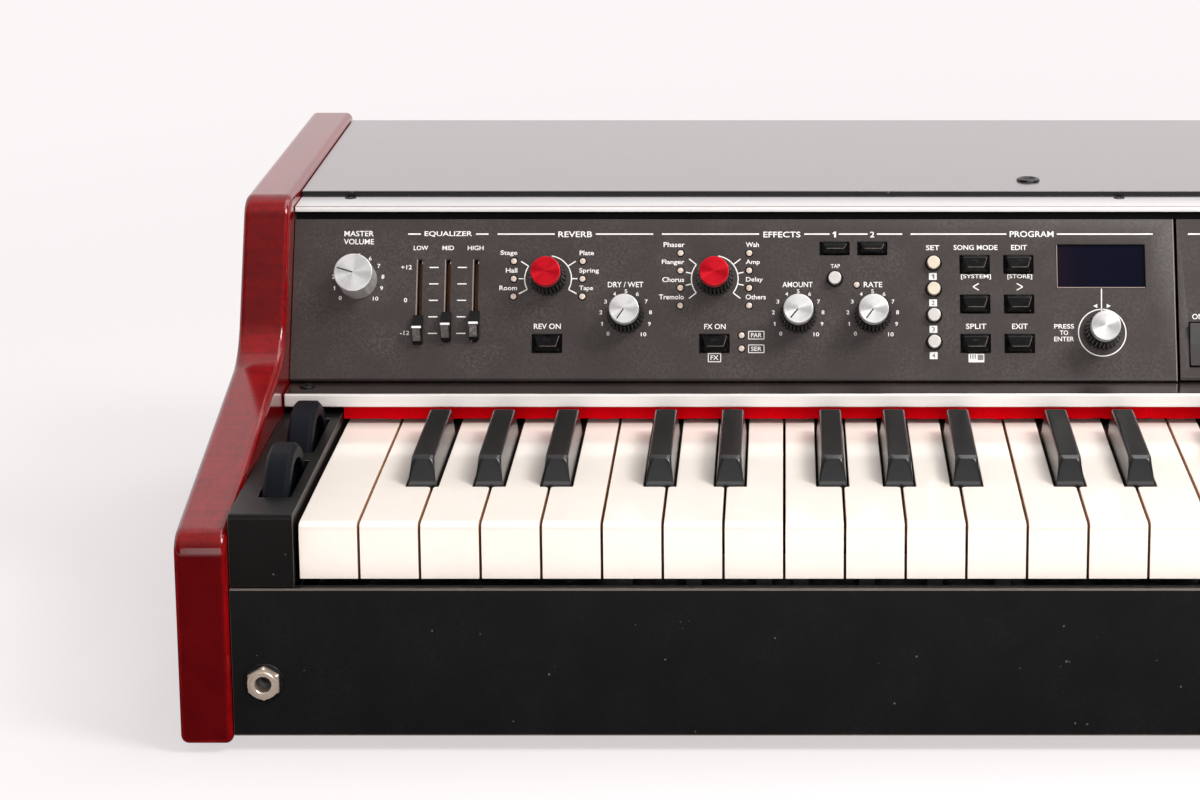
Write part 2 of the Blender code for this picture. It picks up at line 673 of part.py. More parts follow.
def build_cheek(name, low, wheels):
    """A box beside the keys, open below; the left one has slots and bearings for the thumb wheels."""
    high = low + CHEEK_WIDTH
    bottom = FRONT_TOP + GAP
    corners = ((CHEEK_FRONT, bottom, 0), (CHEEK_BACK, bottom, 0), (CHEEK_BACK, CHEEK_TOP, 0),
               (CHEEK_FRONT, CHEEK_TOP, 2))
    bm = bmesh.new()
    add_prism(bm, rounded(corners), low, high, along_x)
    box = make_object(name, bm, ((0.05, 0.048, 0.048), 0.45))
    inside = ((low + CHEEK_WALL, high - CHEEK_WALL),)
    bearing = low + WHEEL_PLACE - AXLE_HALF + 1.5
    if wheels:
        inside = ((low + CHEEK_WALL, bearing - 2.5), (bearing, high - CHEEK_WALL))
    pockets = bmesh.new()
    for x in inside:
        add_box(pockets, x, (CHEEK_FRONT + CHEEK_WALL, CHEEK_BACK - CHEEK_WALL),
                (bottom - 5, CHEEK_TOP - CHEEK_WALL))
    combine(box, pockets, "DIFFERENCE")
    if not wheels:
        return
    slots, bores = bmesh.new(), bmesh.new()
    middle = low + WHEEL_PLACE
    reach = math.sqrt(WHEEL_RADIUS ** 2 - (WHEEL_DROP - CHEEK_WALL) ** 2) + GAP
    for depth in WHEEL_DEPTHS.values():
        add_box(slots, (middle - WHEEL_SLOT_WIDTH / 2, middle + WHEEL_SLOT_WIDTH / 2),
                (depth - reach, depth + reach), (CHEEK_TOP - 4, CHEEK_TOP + 4))
        outline = ring(AXLE_RADIUS + GAP, 16, depth, WHEEL_HEIGHT)
        add_prism(bores, outline, middle - AXLE_HALF - GAP - 0.4, high + 3, along_x)
    combine(box, slots, "DIFFERENCE")
    combine(box, bores, "DIFFERENCE")


def build_wheels():
    """The pitch and modulation wheels: a bevelled rim, a thin web and axle ends."""
    half, web = WHEEL_WIDTH / 2, WHEEL_WEB / 2
    inner = WHEEL_RADIUS - WHEEL_RIM
    side = ((AXLE_RADIUS, AXLE_HALF), (AXLE_RADIUS, web), (inner, web), (inner, half),
            (WHEEL_RADIUS - WHEEL_CHAMFER, half), (WHEEL_RADIUS, half - WHEEL_CHAMFER))
    middle = -FIT_HALF + WHEEL_PLACE
    for name, depth in WHEEL_DEPTHS.items():
        profile = [(radius, -reach) for radius, reach in side] + list(side[::-1])
        rings = [at_level(ring(radius, 26, depth, WHEEL_HEIGHT), middle + reach) for radius, reach in profile]
        bm = bmesh.new()
        add_loft(bm, rings, along_x)
        make_object(name, bm, ((0.03, 0.032, 0.038), 0.4), along_x(depth, WHEEL_HEIGHT, middle), 35)


def build_key_rail():
    """Metal rail over the keys: a lip in front, and a leg that stands on the pivot rail."""
    bm = bmesh.new()
    back = BLOCK_BACK - 2
    path = ((back, BLOCK_TOP + GAP), (back, RAIL_TOP), (RAIL_FRONT, RAIL_TOP), (RAIL_FRONT, RAIL_LIP))
    add_prism(bm, folded(path, RAIL_SHEET), -FIT_HALF, FIT_HALF, along_x)
    make_object("key_rail", bm, ((0.62, 0.61, 0.6), 0.3, 1.0))


def build_felt():
    """Felt strip that hangs behind the lip of the key rail."""
    front = RAIL_FRONT + RAIL_SHEET + GAP
    bm = bmesh.new()
    half = CHEEK_INNER - GAP
    add_box(bm, (-half, half), (front, front + FELT_THICKNESS), (FELT_CLEAR, RAIL_TOP - RAIL_SHEET - GAP))
    make_object("felt_strip", bm, ((0.55, 0.012, 0.015), 0.95))


def panel_sheet(left, width):
    """Face of a panel, with a flange at its foot and at its top that point to the back."""
    top = PANEL_FOOT + (PANEL_TOP - PANEL_BOTTOM) / math.tan(PANEL_SLOPE)
    path = ((top + PANEL_FLANGE, PANEL_TOP), (top, PANEL_TOP), (PANEL_FOOT, PANEL_BOTTOM),
            (PANEL_FOOT + PANEL_FLANGE, PANEL_BOTTOM))
    bm = bmesh.new()
    add_prism(bm, folded(path, PANEL_SHEET), left, left + width, along_x)
    return bm


def build_control_panel():
    """The main panel with the housings of its potentiometers, and openings for everything on it."""
    panel = make_object("control_panel", panel_sheet(-FIT_HALF, MAIN_WIDTH), ((0.045, 0.045, 0.047), 0.4, 0.4))
    shafts = (*KNOB_PLACES.values(), ENCODER_PLACE)
    pots, holes = bmesh.new(), bmesh.new()
    low, high = -POT_DEPTH - 2, PANEL_SHEET
    for x, s in shafts:
        add_prism(pots, ring(POT_RADIUS, 12, x, s), -POT_DEPTH, -PANEL_SHEET / 2, on_panel)
        add_prism(holes, ring(SHAFT_RADIUS + BORE_CLEARANCE, 12, x, s), low, high, on_panel)
    slot = SLIDER_TRAVEL + STEM_SIZE[1] + 1
    for x, _ in SLIDER_PLACES.values():
        add_prism(pots, rectangle(8, slot + 6, x, SLIDER_MIDDLE), -POT_DEPTH, -PANEL_SHEET / 2, on_panel)
        add_prism(holes, rectangle(SLOT_WIDTH, slot, x, SLIDER_MIDDLE), low, high, on_panel)
    for places, size in ((BUTTON_PLACES, BUTTON_SIZE), (SMALL_BUTTON_PLACES, SMALL_BUTTON_SIZE)):
        for x, s in places.values():
            outline = rectangle(size[0] + 2 * GAP, size[1] + 2 * GAP, x, s)
            add_prism(holes, outline, low, high, on_panel)
    for x, s in ROUND_BUTTON_PLACES.values():
        add_prism(holes, ring(ROUND_BUTTON_RADIUS + BORE_CLEARANCE, 12, x, s), low, high, on_panel)
    add_prism(holes, rectangle(*DISPLAY_SIZE, *DISPLAY_PLACE), low, high, on_panel)
    combine(panel, pots, "UNION")
    combine(panel, holes, "DIFFERENCE")


def knob_rings(x, s, foot, shaft, count=2 * KNOB_RIBS):
    """Rings of a knob from below: its shaft, a ribbed skirt and a plain metal cap."""
    cap = KNOB_HEIGHT - KNOB_CAP_HEIGHT
    rows = [(KNOB_RADIUS, foot, 0.5), (KNOB_RADIUS - 0.9, cap - 0.4, 0.4), (KNOB_CAP_RADIUS, cap, 0),
            (KNOB_CAP_RADIUS, KNOB_HEIGHT - 0.4, 0), (KNOB_CAP_RADIUS - 0.4, KNOB_HEIGHT, 0)]
    if shaft is not None:
        rows = [(SHAFT_RADIUS, shaft, 0), (SHAFT_RADIUS, foot, 0)] + rows
    return [at_level(ring(radius, count, x, s, ribs), height) for radius, height, ribs in rows]


def volume_rings(x, s):
    """Rings of the volume knob from below: its shaft and a plain body that tapers a little."""
    top = VOLUME_RADIUS - VOLUME_TAPER
    rows = ((SHAFT_RADIUS, KNOB_SHAFT_END), (SHAFT_RADIUS, KNOB_FOOT), (VOLUME_RADIUS, KNOB_FOOT),
            (top, KNOB_HEIGHT - 0.5), (top - 0.5, KNOB_HEIGHT))
    return [at_level(ring(radius, 24, x, s), height) for radius, height in rows]


def build_knobs():
    """The six knobs on shafts, and the encoder: a stem that can be pushed and a knob that turns on it."""
    look = ((0.6, 0.6, 0.6), 0.35, 0.8)
    for name, (x, s) in KNOB_PLACES.items():
        rings = knob_rings(x, s, KNOB_FOOT, KNOB_SHAFT_END)
        if name == "knob_volume":
            rings = volume_rings(x, s)
        bm = bmesh.new()
        add_loft(bm, rings, on_panel)
        make_object(name, bm, look, on_panel(x, s, 0), 40)
    x, s = ENCODER_PLACE
    stem = bmesh.new()
    add_prism(stem, ring(SHAFT_RADIUS, 16, x, s), KNOB_SHAFT_END + GAP, KNOB_HEIGHT - 6, on_panel)
    make_object("encoder_stem", stem, ((0.5, 0.5, 0.5), 0.4, 1.0), on_panel(x, s, 0), 40)
    bm = bmesh.new()
    add_loft(bm, knob_rings(x, s, KNOB_FOOT + ENCODER_TRAVEL, None), on_panel)
    knob = make_object("encoder_knob", bm, look, on_panel(x, s, 0), 40)
    bore = bmesh.new()
    add_prism(bore, ring(SHAFT_RADIUS + GAP, 16, x, s), -2, KNOB_HEIGHT - 6 + GAP, on_panel)
    combine(knob, bore, "DIFFERENCE")


def add_rect_button(bm, place, size):
    """A wedge-shaped cap with a tapered top, on a flange behind the panel."""
    x, s = place
    flange = rectangle(size[0] + 2 * BUTTON_FLANGE, size[1] + 2 * BUTTON_FLANGE, x, s)
    body = rectangle(*size, x, s)
    top = rectangle(size[0] - 2 * BUTTON_TAPER, size[1] - 1.2, x, s)
    under = -PANEL_SHEET - GAP
    low, high = at_level(flange, under - BUTTON_FLANGE), at_level(flange, under)
    crown = [(u, v, BUTTON_RISE - BUTTON_TILT * (v > s)) for u, v in top]
    add_loft(bm, (low, high, at_level(body, under), at_level(body, 0.8), crown), on_panel)


def build_buttons():
    """Every push button of the control panel."""
    for places, size in ((BUTTON_PLACES, BUTTON_SIZE), (SMALL_BUTTON_PLACES, SMALL_BUTTON_SIZE)):
        for name, place in places.items():
            bm = bmesh.new()
            add_rect_button(bm, place, size)
            make_object(name, bm, ((0.012, 0.012, 0.013), 0.2), on_panel(*place, 0))
    under = -PANEL_SHEET - GAP
    for name, place in ROUND_BUTTON_PLACES.items():
        rows = ((ROUND_BUTTON_RADIUS + 1, under - BUTTON_FLANGE), (ROUND_BUTTON_RADIUS + 1, under),
                (ROUND_BUTTON_RADIUS, under), (ROUND_BUTTON_RADIUS, ROUND_BUTTON_RISE - 0.4),
                (ROUND_BUTTON_RADIUS - 0.4, ROUND_BUTTON_RISE))
        bm = bmesh.new()
        add_loft(bm, [at_level(ring(radius, 12, *place), height) for radius, height in rows], on_panel)
        make_object(name, bm, ((0.75, 0.72, 0.66), 0.3), on_panel(*place, 0), 35)


def build_sliders():
    """The equalizer sliders: a stem in its slot and a cap with a ridge across its middle."""
    for name, (x, s) in SLIDER_PLACES.items():
        wide, long = CAP_SIZE
        stem = rectangle(*STEM_SIZE, x, s)
        rings = [at_level(stem, KNOB_SHAFT_END), at_level(stem, KNOB_FOOT)]
        rings += [at_level(rectangle(wide, long, x, s), height) for height in (KNOB_FOOT, 3.0)]
        rings += [at_level(rectangle(wide - 0.4, 2.4, x, s), CAP_HEIGHT - 0.5)]
        rings += [at_level(rectangle(wide - 0.6, 1.2, x, s), CAP_HEIGHT)]
        bm = bmesh.new()
        add_loft(bm, rings, on_panel)
        make_object(name, bm, ((0.02, 0.02, 0.02), 0.5), on_panel(x, s, 0))


def build_display_board():
    """Display window on its module, and the long circuit board behind the panel with its switches."""
    bm = bmesh.new()
    outline = rectangle(MAIN_WIDTH - 2 * SWITCH_BOARD_MARGIN, PANEL_LENGTH - 2 * SWITCH_BOARD_EDGE,
                        MAIN_WIDTH / 2, PANEL_LENGTH / 2)
    add_prism(bm, outline, BOARD_TOP - BOARD_SHEET, BOARD_TOP, on_panel)
    board = make_object("display_board", bm, ((0.01, 0.012, 0.02), 0.15))
    parts = bmesh.new()
    width, height = DISPLAY_SIZE
    module = rectangle(width + 2 * DISPLAY_RIM, height + 2 * DISPLAY_RIM, *DISPLAY_PLACE)
    window = rectangle(width - 2 * GAP, height - 2 * GAP, *DISPLAY_PLACE)
    under = -PANEL_SHEET - GAP
    add_loft(parts, (at_level(module, BOARD_TOP - BOARD_SHEET / 2), at_level(module, under),
                     at_level(window, under), at_level(window, -DISPLAY_RECESS)), on_panel)
    switches = (*BUTTON_PLACES.values(), *SMALL_BUTTON_PLACES.values(), *ROUND_BUTTON_PLACES.values())
    top = -PANEL_SHEET - 2 * GAP - BUTTON_FLANGE - BUTTON_TRAVEL
    for place in switches:
        add_prism(parts, rectangle(4, 4, *place), BOARD_TOP - BOARD_SHEET / 2, top, on_panel)
    combine(board, parts, "UNION")


def add_rocker(bm, x, s, place):
    """A rocker in its rest position: a shallow V that is pressed at its lower end."""
    width, length = ROCKER_SIZE
    half = length / 2
    outline = ((half, 2.2), (0, 1.2), (-half, 2.2), (-half, 0), (-4, -5), (4, -5), (half, 0))
    turned = []
    for v, w in outline:
        lifted = w + ROCKER_PIVOT
        turned.append((s + v * math.cos(ROCKER_TILT) - lifted * math.sin(ROCKER_TILT),
                       v * math.sin(ROCKER_TILT) + lifted * math.cos(ROCKER_TILT) - ROCKER_PIVOT))
    rings = [[(x + side * width / 2, v, w) for v, w in turned] for side in (-1, 1)]
    add_loft(bm, rings, place)


def on_module(u, v, w):
    """Place a point of the first sound module."""
    return on_panel(u + MODULE_LEFT + FIT_HALF, v, w)


def build_module(name, left, with_rocker):
    """A sound module: a panel with knobs, and at its left end the opening or the rocker of its switch."""
    panel = make_object(name, panel_sheet(left, MODULE_WIDTH), ((0.045, 0.045, 0.047), 0.4, 0.4))
    start = left + FIT_HALF
    width, length = ROCKER_SIZE
    x, s = start + ROCKER_PLACE[0], ROCKER_PLACE[1]
    extra = bmesh.new()
    for knob_x, knob_s in MODULE_KNOBS:
        rows = ((KNOB_RADIUS, -PANEL_SHEET / 2), (KNOB_RADIUS - 0.9, KNOB_HEIGHT - KNOB_CAP_HEIGHT),
                (KNOB_CAP_RADIUS, KNOB_HEIGHT - KNOB_CAP_HEIGHT), (KNOB_CAP_RADIUS, KNOB_HEIGHT))
        rings = [at_level(ring(radius, 10, start + knob_x, knob_s), height) for radius, height in rows]
        add_loft(extra, rings, on_panel)
    if with_rocker:
        hole = bmesh.new()
        add_prism(hole, rectangle(width + 2 * GAP, length + 1.6, x, s), -PANEL_SHEET - 2, PANEL_SHEET, on_panel)
        combine(panel, hole, "DIFFERENCE")
    else:
        rings = [at_level(rectangle(width, length, x, s), -PANEL_SHEET / 2),
                 [(u, v, 1.2 + 2 * (v > s)) for u, v in rectangle(width, length, x, s)]]
        add_loft(extra, rings, on_panel)
    combine(panel, extra, "UNION")


def build_rockers():
    """The power switch of the first sound module, and the mains switch in the rear panel."""
    look = ((0.06, 0.06, 0.065), 0.35)
    x, s = ROCKER_PLACE
    bm = bmesh.new()
    add_rocker(bm, x, s, on_module)
    make_object("rocker_module", bm, look, on_module(x, s, -ROCKER_PIVOT))
    bm = bmesh.new()
    add_rocker(bm, POWER_PLACE, SOCKET_HEIGHT, on_socket_plate)
    make_object("rocker_power", bm, look, on_socket_plate(POWER_PLACE, SOCKET_HEIGHT, -ROCKER_PIVOT))


def build_top():
    """The bright trim above the panel, and the top cover with a hem in front and a flange behind."""
    bm = bmesh.new()
    corners = ((TRIM_FRONT, TRIM_BOTTOM - 0.35, 0), (TRIM_FRONT + TRIM_LIP, TRIM_BOTTOM - 0.35, 0),
               (TRIM_FRONT + TRIM_LIP, TRIM_BOTTOM, 0), (TRIM_FRONT + TRIM_DEPTH, TRIM_BOTTOM, 0),
               (TRIM_FRONT + TRIM_DEPTH, TRIM_TOP, 0), (TRIM_FRONT, TRIM_TOP, 0.8))
    add_prism(bm, rounded(corners, 2), -FIT_HALF, FIT_HALF, along_x)
    make_object("top_trim", bm, ((0.75, 0.74, 0.73), 0.3, 1.0))
    bm = bmesh.new()
    corners = ((COVER_FRONT, COVER_BOTTOM, 0), (COVER_FRONT + COVER_HEM, COVER_BOTTOM, 0),
               (COVER_FRONT + COVER_HEM, COVER_TOP - SHEET, 0), (COVER_BACK - SHEET, COVER_TOP - SHEET, 0),
               (COVER_BACK - SHEET, COVER_TOP - COVER_REAR_DROP, 0), (COVER_BACK, COVER_TOP - COVER_REAR_DROP, 0),
               (COVER_BACK, COVER_TOP, 1.2), (COVER_FRONT, COVER_TOP, 0.8))
    add_prism(bm, rounded(corners, 2), -FIT_HALF, FIT_HALF, along_x)
    make_object("top_cover", bm, ((0.05, 0.05, 0.052), 0.35, 0.3))


def build_rear_panel():
    """Rear sheet with a turned top edge, and one opening that the socket plate covers."""
    bm = bmesh.new()
    top = COVER_TOP - SHEET - GAP
    path = ((REAR_BACK, CASE_BOTTOM), (REAR_BACK, top), (REAR_BACK - FLANGE, top))
    add_prism(bm, folded(path, SHEET), -FIT_HALF, FIT_HALF, along_x)
    panel = make_object("rear_panel", bm, ((0.02, 0.02, 0.021), 0.5, 0.2))
    opening = bmesh.new()
    outline = rectangle(SOCKET_WIDTH - 2 * SOCKET_PLATE_LAP, SOCKET_PLATE_HEIGHT - 2 * SOCKET_PLATE_LAP,
                        SOCKET_MIDDLE, SOCKET_HEIGHT)
    add_prism(opening, outline, -SHEET - 1, 1, on_rear)
    combine(panel, opening, "DIFFERENCE")


def build_rear_sockets():
    """Socket plate with four jacks, a data socket and a mains inlet, whose bodies end on an upright board."""
    plate = bmesh.new()
    outline = rectangle(SOCKET_WIDTH, SOCKET_PLATE_HEIGHT, SOCKET_MIDDLE, SOCKET_HEIGHT)
    add_prism(plate, outline, -SOCKET_PLATE_SHEET, 0, on_socket_plate)
    sockets = make_object("rear_sockets", plate, ((0.02, 0.02, 0.02), 0.4))
    back, inside = -JACK_DEPTH - SOCKET_FACE - 2, -SOCKET_PLATE_SHEET / 2
    blocks, collars, bores = bmesh.new(), bmesh.new(), bmesh.new()
    left, right = SOCKET_LEFT, INLET_PLACE + SOCKET_MARGIN
    height = SOCKET_PLATE_HEIGHT - 2 * SOCKET_PLATE_LAP
    outline = rectangle(right - left, height, (left + right) / 2, SOCKET_HEIGHT)
    board = bmesh.new()
    add_prism(board, outline, back - BOARD_SHEET, back, on_socket_plate)
    for x in REAR_JACKS:
        add_prism(blocks, rectangle(JACK_BLOCK, JACK_BLOCK, x, SOCKET_HEIGHT), back - BOARD_SHEET / 2, inside,
                  on_socket_plate)
        add_prism(collars, ring(JACK_COLLAR, 12, x, SOCKET_HEIGHT), inside, COLLAR_PROUD, on_socket_plate)
        add_prism(bores, ring(JACK_BORE, 12, x, SOCKET_HEIGHT), -JACK_DEPTH - SOCKET_FACE, COLLAR_PROUD + 1,
                  on_socket_plate)
    for x, size, opening in ((USB_PLACE, USB_SIZE, USB_OPENING), (INLET_PLACE, INLET_SIZE, INLET_OPENING)):
        add_prism(blocks, rectangle(*size, x, SOCKET_HEIGHT), back - BOARD_SHEET / 2, SOCKET_PROUD, on_socket_plate)
        add_prism(bores, rectangle(*opening, x, SOCKET_HEIGHT), back + 10, SOCKET_PROUD + 1, on_socket_plate)
    width, length = ROCKER_SIZE
    hole = rectangle(width + 2 * GAP, length + 1.6, POWER_PLACE, SOCKET_HEIGHT)
    add_prism(bores, hole, -SOCKET_PLATE_SHEET - 1, 1, on_socket_plate)
    combine(sockets, board, "UNION")
    combine(sockets, blocks, "UNION")
    combine(sockets, collars, "UNION")
    combine(sockets, bores, "DIFFERENCE")


def build_headphone_jack():
    """Headphone socket in the front face: washer, hex nut, threaded collar and a body behind the sheet."""
    x, height = HEADPHONE_PLACE
    behind = CASE_FRONT + SHEET + GAP
    rings = [at_level(ring(7.8, 24, x, height), CASE_FRONT - GAP - 0.6),
             at_level(ring(7.8, 24, x, height), CASE_FRONT - GAP),
             at_level(ring(JACK_COLLAR, 24, x, height), CASE_FRONT - GAP),
             at_level(ring(JACK_COLLAR, 24, x, height), behind + 2)]
    bm = bmesh.new()
    add_loft(bm, rings, facing_front)
    jack = make_object("headphone_jack", bm, ((0.6, 0.58, 0.55), 0.3, 1.0), smooth=40)
    body, nut, bore = bmesh.new(), bmesh.new(), bmesh.new()
    add_prism(body, rectangle(JACK_BLOCK, JACK_BLOCK, x, height), behind, behind + 26, facing_front)
    corners = [(x + 6.93 * math.sin(math.radians(turn)), height + 6.93 * math.cos(math.radians(turn)))
               for turn in range(0, 360, 60)]
    add_prism(nut, corners, SIDE_FRONT + 0.2, CASE_FRONT - GAP - 0.3, facing_front)
    add_prism(bore, ring(JACK_BORE, 20, x, height), SIDE_FRONT - 3, behind + 22, facing_front)
    combine(jack, body, "UNION")
    combine(jack, nut, "UNION")
    combine(jack, bore, "DIFFERENCE")


def build_circuit_board():
    """Main circuit board on pillars, with its power supply, chips and capacitors."""
    bm = bmesh.new()
    left, right = BOARD_PLACE - BOARD_WIDTH / 2, BOARD_PLACE + BOARD_WIDTH / 2
    back, middle = BOARD_FRONT + BOARD_LENGTH, BOARD_FRONT + BOARD_LENGTH / 2
    top = CASE_FLOOR + BOARD_RAISED
    inside = top - BOARD_SHEET / 2
    add_box(bm, (left, right), (BOARD_FRONT, back), (top - BOARD_SHEET, top))
    board = make_object("circuit_board", bm, ((0.01, 0.07, 0.03), 0.5))
    parts, pillars = bmesh.new(), bmesh.new()
    inset = 2 * BOARD_PILLAR + 1
    for x in (left + inset, BOARD_PLACE, right - inset):
        for depth in (BOARD_FRONT + inset, back - inset):
            add_prism(pillars, ring(BOARD_PILLAR, 10, x, depth), CASE_FLOOR, inside, level)
    width, length, height = SUPPLY_SIZE
    end = right - SUPPLY_INSET
    add_box(parts, (end - width, end), (middle - length / 2, middle + length / 2), (inside, top + height))
    for number in range(4):
        x = left + CHIP_SPACING * (number + 0.5) + CHIP_SIZE / 2
        depth = (middle - CHIP_SIZE / 2, middle + CHIP_SIZE / 2)
        add_box(parts, (x, x + CHIP_SIZE), depth, (inside, top + CHIP_HEIGHT))
    for number in (1, 2.5):
        x = end - width - 3 * number * CAPACITOR_RADIUS
        outline = ring(CAPACITOR_RADIUS, 12, x, middle + 3 * CAPACITOR_RADIUS)
        add_prism(parts, outline, inside, top + CAPACITOR_HEIGHT, level)
    combine(board, parts, "UNION")
    combine(board, pillars, "UNION")


def main():
    for leftover in list(bpy.data.objects):
        bpy.data.objects.remove(leftover, do_unlink=True)
    build_sides()
    build_lower_case()
    build_top()
    build_rear_panel()
    build_rear_sockets()
    build_headphone_jack()
    build_circuit_board()
    build_keybed()
    build_played_keys()
    build_key_rail()
    build_felt()
    build_control_panel()
    build_display_board()
    build_knobs()
    build_sliders()
    build_buttons()
    build_module("module_panel_a", MODULE_LEFT, True)
    build_module("module_panel_b", MODULE_LEFT + MODULE_WIDTH + PANEL_GAP, False)
    build_rockers()
    build_cheek("wheel_box", -FIT_HALF, True)
    build_cheek("cheek_block", FIT_HALF - CHEEK_WIDTH, False)
    build_wheels()


main()
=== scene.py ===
# %% [markdown]
# # Dressing a stage piano
#
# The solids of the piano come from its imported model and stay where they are. This notebook gives them
# their finishes, replaces the plain ones by finer surfaces of the same size, and adds what a solid model
# leaves out: print, lamps, screws and nuts. Every new piece rides on the body that carries it, so that
# keys, wheels, knobs and sliders still move.
#
# Lengths are millimetres until a mesh is made. A place is given as (x, depth, height): x from the middle
# of the piano to the right, depth back from the fronts of the white keys, height above their tops.

import json
import math
from collections import namedtuple

import bmesh
import bpy
import numpy as np
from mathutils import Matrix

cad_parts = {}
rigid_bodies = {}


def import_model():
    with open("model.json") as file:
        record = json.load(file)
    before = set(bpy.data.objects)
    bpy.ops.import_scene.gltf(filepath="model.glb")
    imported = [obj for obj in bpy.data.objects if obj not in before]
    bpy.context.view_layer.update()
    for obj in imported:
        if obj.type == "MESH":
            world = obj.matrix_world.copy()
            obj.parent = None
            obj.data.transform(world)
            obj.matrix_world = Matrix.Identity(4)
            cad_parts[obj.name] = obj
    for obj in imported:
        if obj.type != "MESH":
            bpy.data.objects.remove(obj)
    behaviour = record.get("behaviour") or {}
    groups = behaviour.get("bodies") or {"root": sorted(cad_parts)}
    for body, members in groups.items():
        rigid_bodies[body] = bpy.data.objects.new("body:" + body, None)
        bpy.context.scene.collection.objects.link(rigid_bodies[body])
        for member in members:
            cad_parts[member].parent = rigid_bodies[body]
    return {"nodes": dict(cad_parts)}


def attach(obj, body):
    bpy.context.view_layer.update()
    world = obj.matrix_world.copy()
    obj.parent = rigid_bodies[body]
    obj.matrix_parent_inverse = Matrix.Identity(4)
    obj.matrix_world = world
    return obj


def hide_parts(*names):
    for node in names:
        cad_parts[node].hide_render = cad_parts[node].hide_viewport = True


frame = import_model()
scene = bpy.context.scene
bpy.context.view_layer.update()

# %% [markdown]
# ## Places
#
# The case is seen from three directions: across the keys, up the sloping panel, and from behind. Each gets
# a small function that turns whole arrays of millimetres into metres of the frame. The panel rises at 65
# degrees, so a place on it is (x, s, out): along it, up its slope, and out of its face.

# %% Functions for places
KEY_TOP = 91.0
MIDDLE_DEPTH = 185.5
PANEL_FOOT = 155.0
PANEL_BOTTOM = 13.6
PANEL_LENGTH = 76.0
SLOPE_COS, SLOPE_SIN = math.cos(math.radians(65)), math.sin(math.radians(65))
FIT_HALF = 531.3
FRONT_FACE, REAR_FACE = -6.0, 373.8


def in_frame(x, depth, height):
    """Metres in the frame: x stays, depth is counted from the middle, height from the floor."""
    x, depth, height = np.broadcast_arrays(x, depth, height)
    return np.stack([x, depth - MIDDLE_DEPTH, height + KEY_TOP], -1) * 0.001


def on_panel(x, s, out):
    """A place on the sloping panel: foot + s times the slope direction + out times its normal."""
    depth = PANEL_FOOT + s * SLOPE_COS - out * SLOPE_SIN
    return in_frame(x, depth, PANEL_BOTTOM + s * SLOPE_SIN + out * SLOPE_COS)


def on_front(x, height, out):
    """A place on the steel front, out towards the player."""
    return in_frame(x, FRONT_FACE - np.asarray(out), height)


def on_rear(x, height, out):
    """A place on the rear sheet, out to the back."""
    return in_frame(x, REAR_FACE + np.asarray(out), height)


def on_top(level):
    """A function for places (x, depth, out) above a given height."""
    return lambda x, depth, out: in_frame(x, depth, level + np.asarray(out))


def across(depth, height, x):
    """A profile in (depth, height) at a distance along x."""
    return in_frame(x, depth, height)


print("panel top edge:", on_panel(0.0, PANEL_LENGTH, 0.0).round(4))

# %% [markdown]
# ## Surfaces from arrays
#
# Nearly everything here is either turned (knobs, nuts), flat with a rounded edge (plates, wooden sides), or
# drawn along a line (keys). All three are a grid of points with two parameters: one runs round the form,
# the other along it. A shape is kept as three arrays, so that shapes can be joined before one mesh is made.

# %% Functions for surfaces
Shape = namedtuple("Shape", "points quads caps")


def skin(rings):
    """Rings of points, (rings, points, 3), joined by quads; the two end rings are closed by a cap each."""
    count, around = rings.shape[:2]
    index = np.arange(count * around).reshape(count, around)
    after = np.roll(index, -1, axis=1)
    quads = np.stack([index[:-1], after[:-1], after[1:], index[1:]], -1).reshape(-1, 4)
    return Shape(rings.reshape(-1, 3), quads, [index[0][::-1].tolist(), index[-1].tolist()])


def together(shapes):
    """Several shapes as one: their arrays one after another, with the point numbers moved on."""
    starts = np.cumsum([0] + [len(shape.points) for shape in shapes])
    points = np.concatenate([shape.points for shape in shapes])
    quads = np.concatenate([shape.quads + start for shape, start in zip(shapes, starts)])
    caps = [(np.array(cap) + start).tolist() for shape, start in zip(shapes, starts) for cap in shape.caps]
    return Shape(points, quads, caps)


print("a shape is kept as:", Shape._fields)

# %% [markdown]
# ## Outlines
#
# A plank, a plate or a button is known by its outline. It could be traced with Bezier curves that are made
# a mesh later. Here it is an array of points, because a corner's radius is then a number that can be
# measured on the real thing, and the arc that touches both sides follows from the angle between them.

# %% Functions for outlines
def round_corners(corners, steps=6):
    """Closed outline: each (u, v, radius) corner becomes an arc that touches both of its sides."""
    corners = np.array(corners, float)
    middle = corners[:, :2]
    before = np.roll(middle, 1, axis=0) - middle
    after = np.roll(middle, -1, axis=0) - middle
    before /= np.linalg.norm(before, axis=1, keepdims=True)
    after /= np.linalg.norm(after, axis=1, keepdims=True)
    half = np.arccos(np.clip((before * after).sum(1), -1, 1)) / 2
    radius = np.maximum(corners[:, 2], 0.02)
    bisector = before + after
    bisector /= np.linalg.norm(bisector, axis=1, keepdims=True)
    centre = middle + bisector * (radius / np.sin(half))[:, None]
    start = middle + before * (radius / np.tan(half))[:, None] - centre
    end = middle + after * (radius / np.tan(half))[:, None] - centre
    sweep = np.arctan2(start[:, 0] * end[:, 1] - start[:, 1] * end[:, 0], (start * end).sum(1))
    turn = sweep[:, None] * np.linspace(0, 1, steps + 1)
    u = start[:, :1] * np.cos(turn) - start[:, 1:] * np.sin(turn)
    v = start[:, :1] * np.sin(turn) + start[:, 1:] * np.cos(turn)
    return (np.stack([u, v], -1) + centre[:, None]).reshape(-1, 2)


def box_outline(width, height, radius=0.3, x=0.0, y=0.0, steps=4):
    """Rounded rectangle about a middle point."""
    w, h = width / 2, height / 2
    corners = [(x - w, y - h, radius), (x + w, y - h, radius), (x + w, y + h, radius), (x - w, y + h, radius)]
    return round_corners(corners, steps)


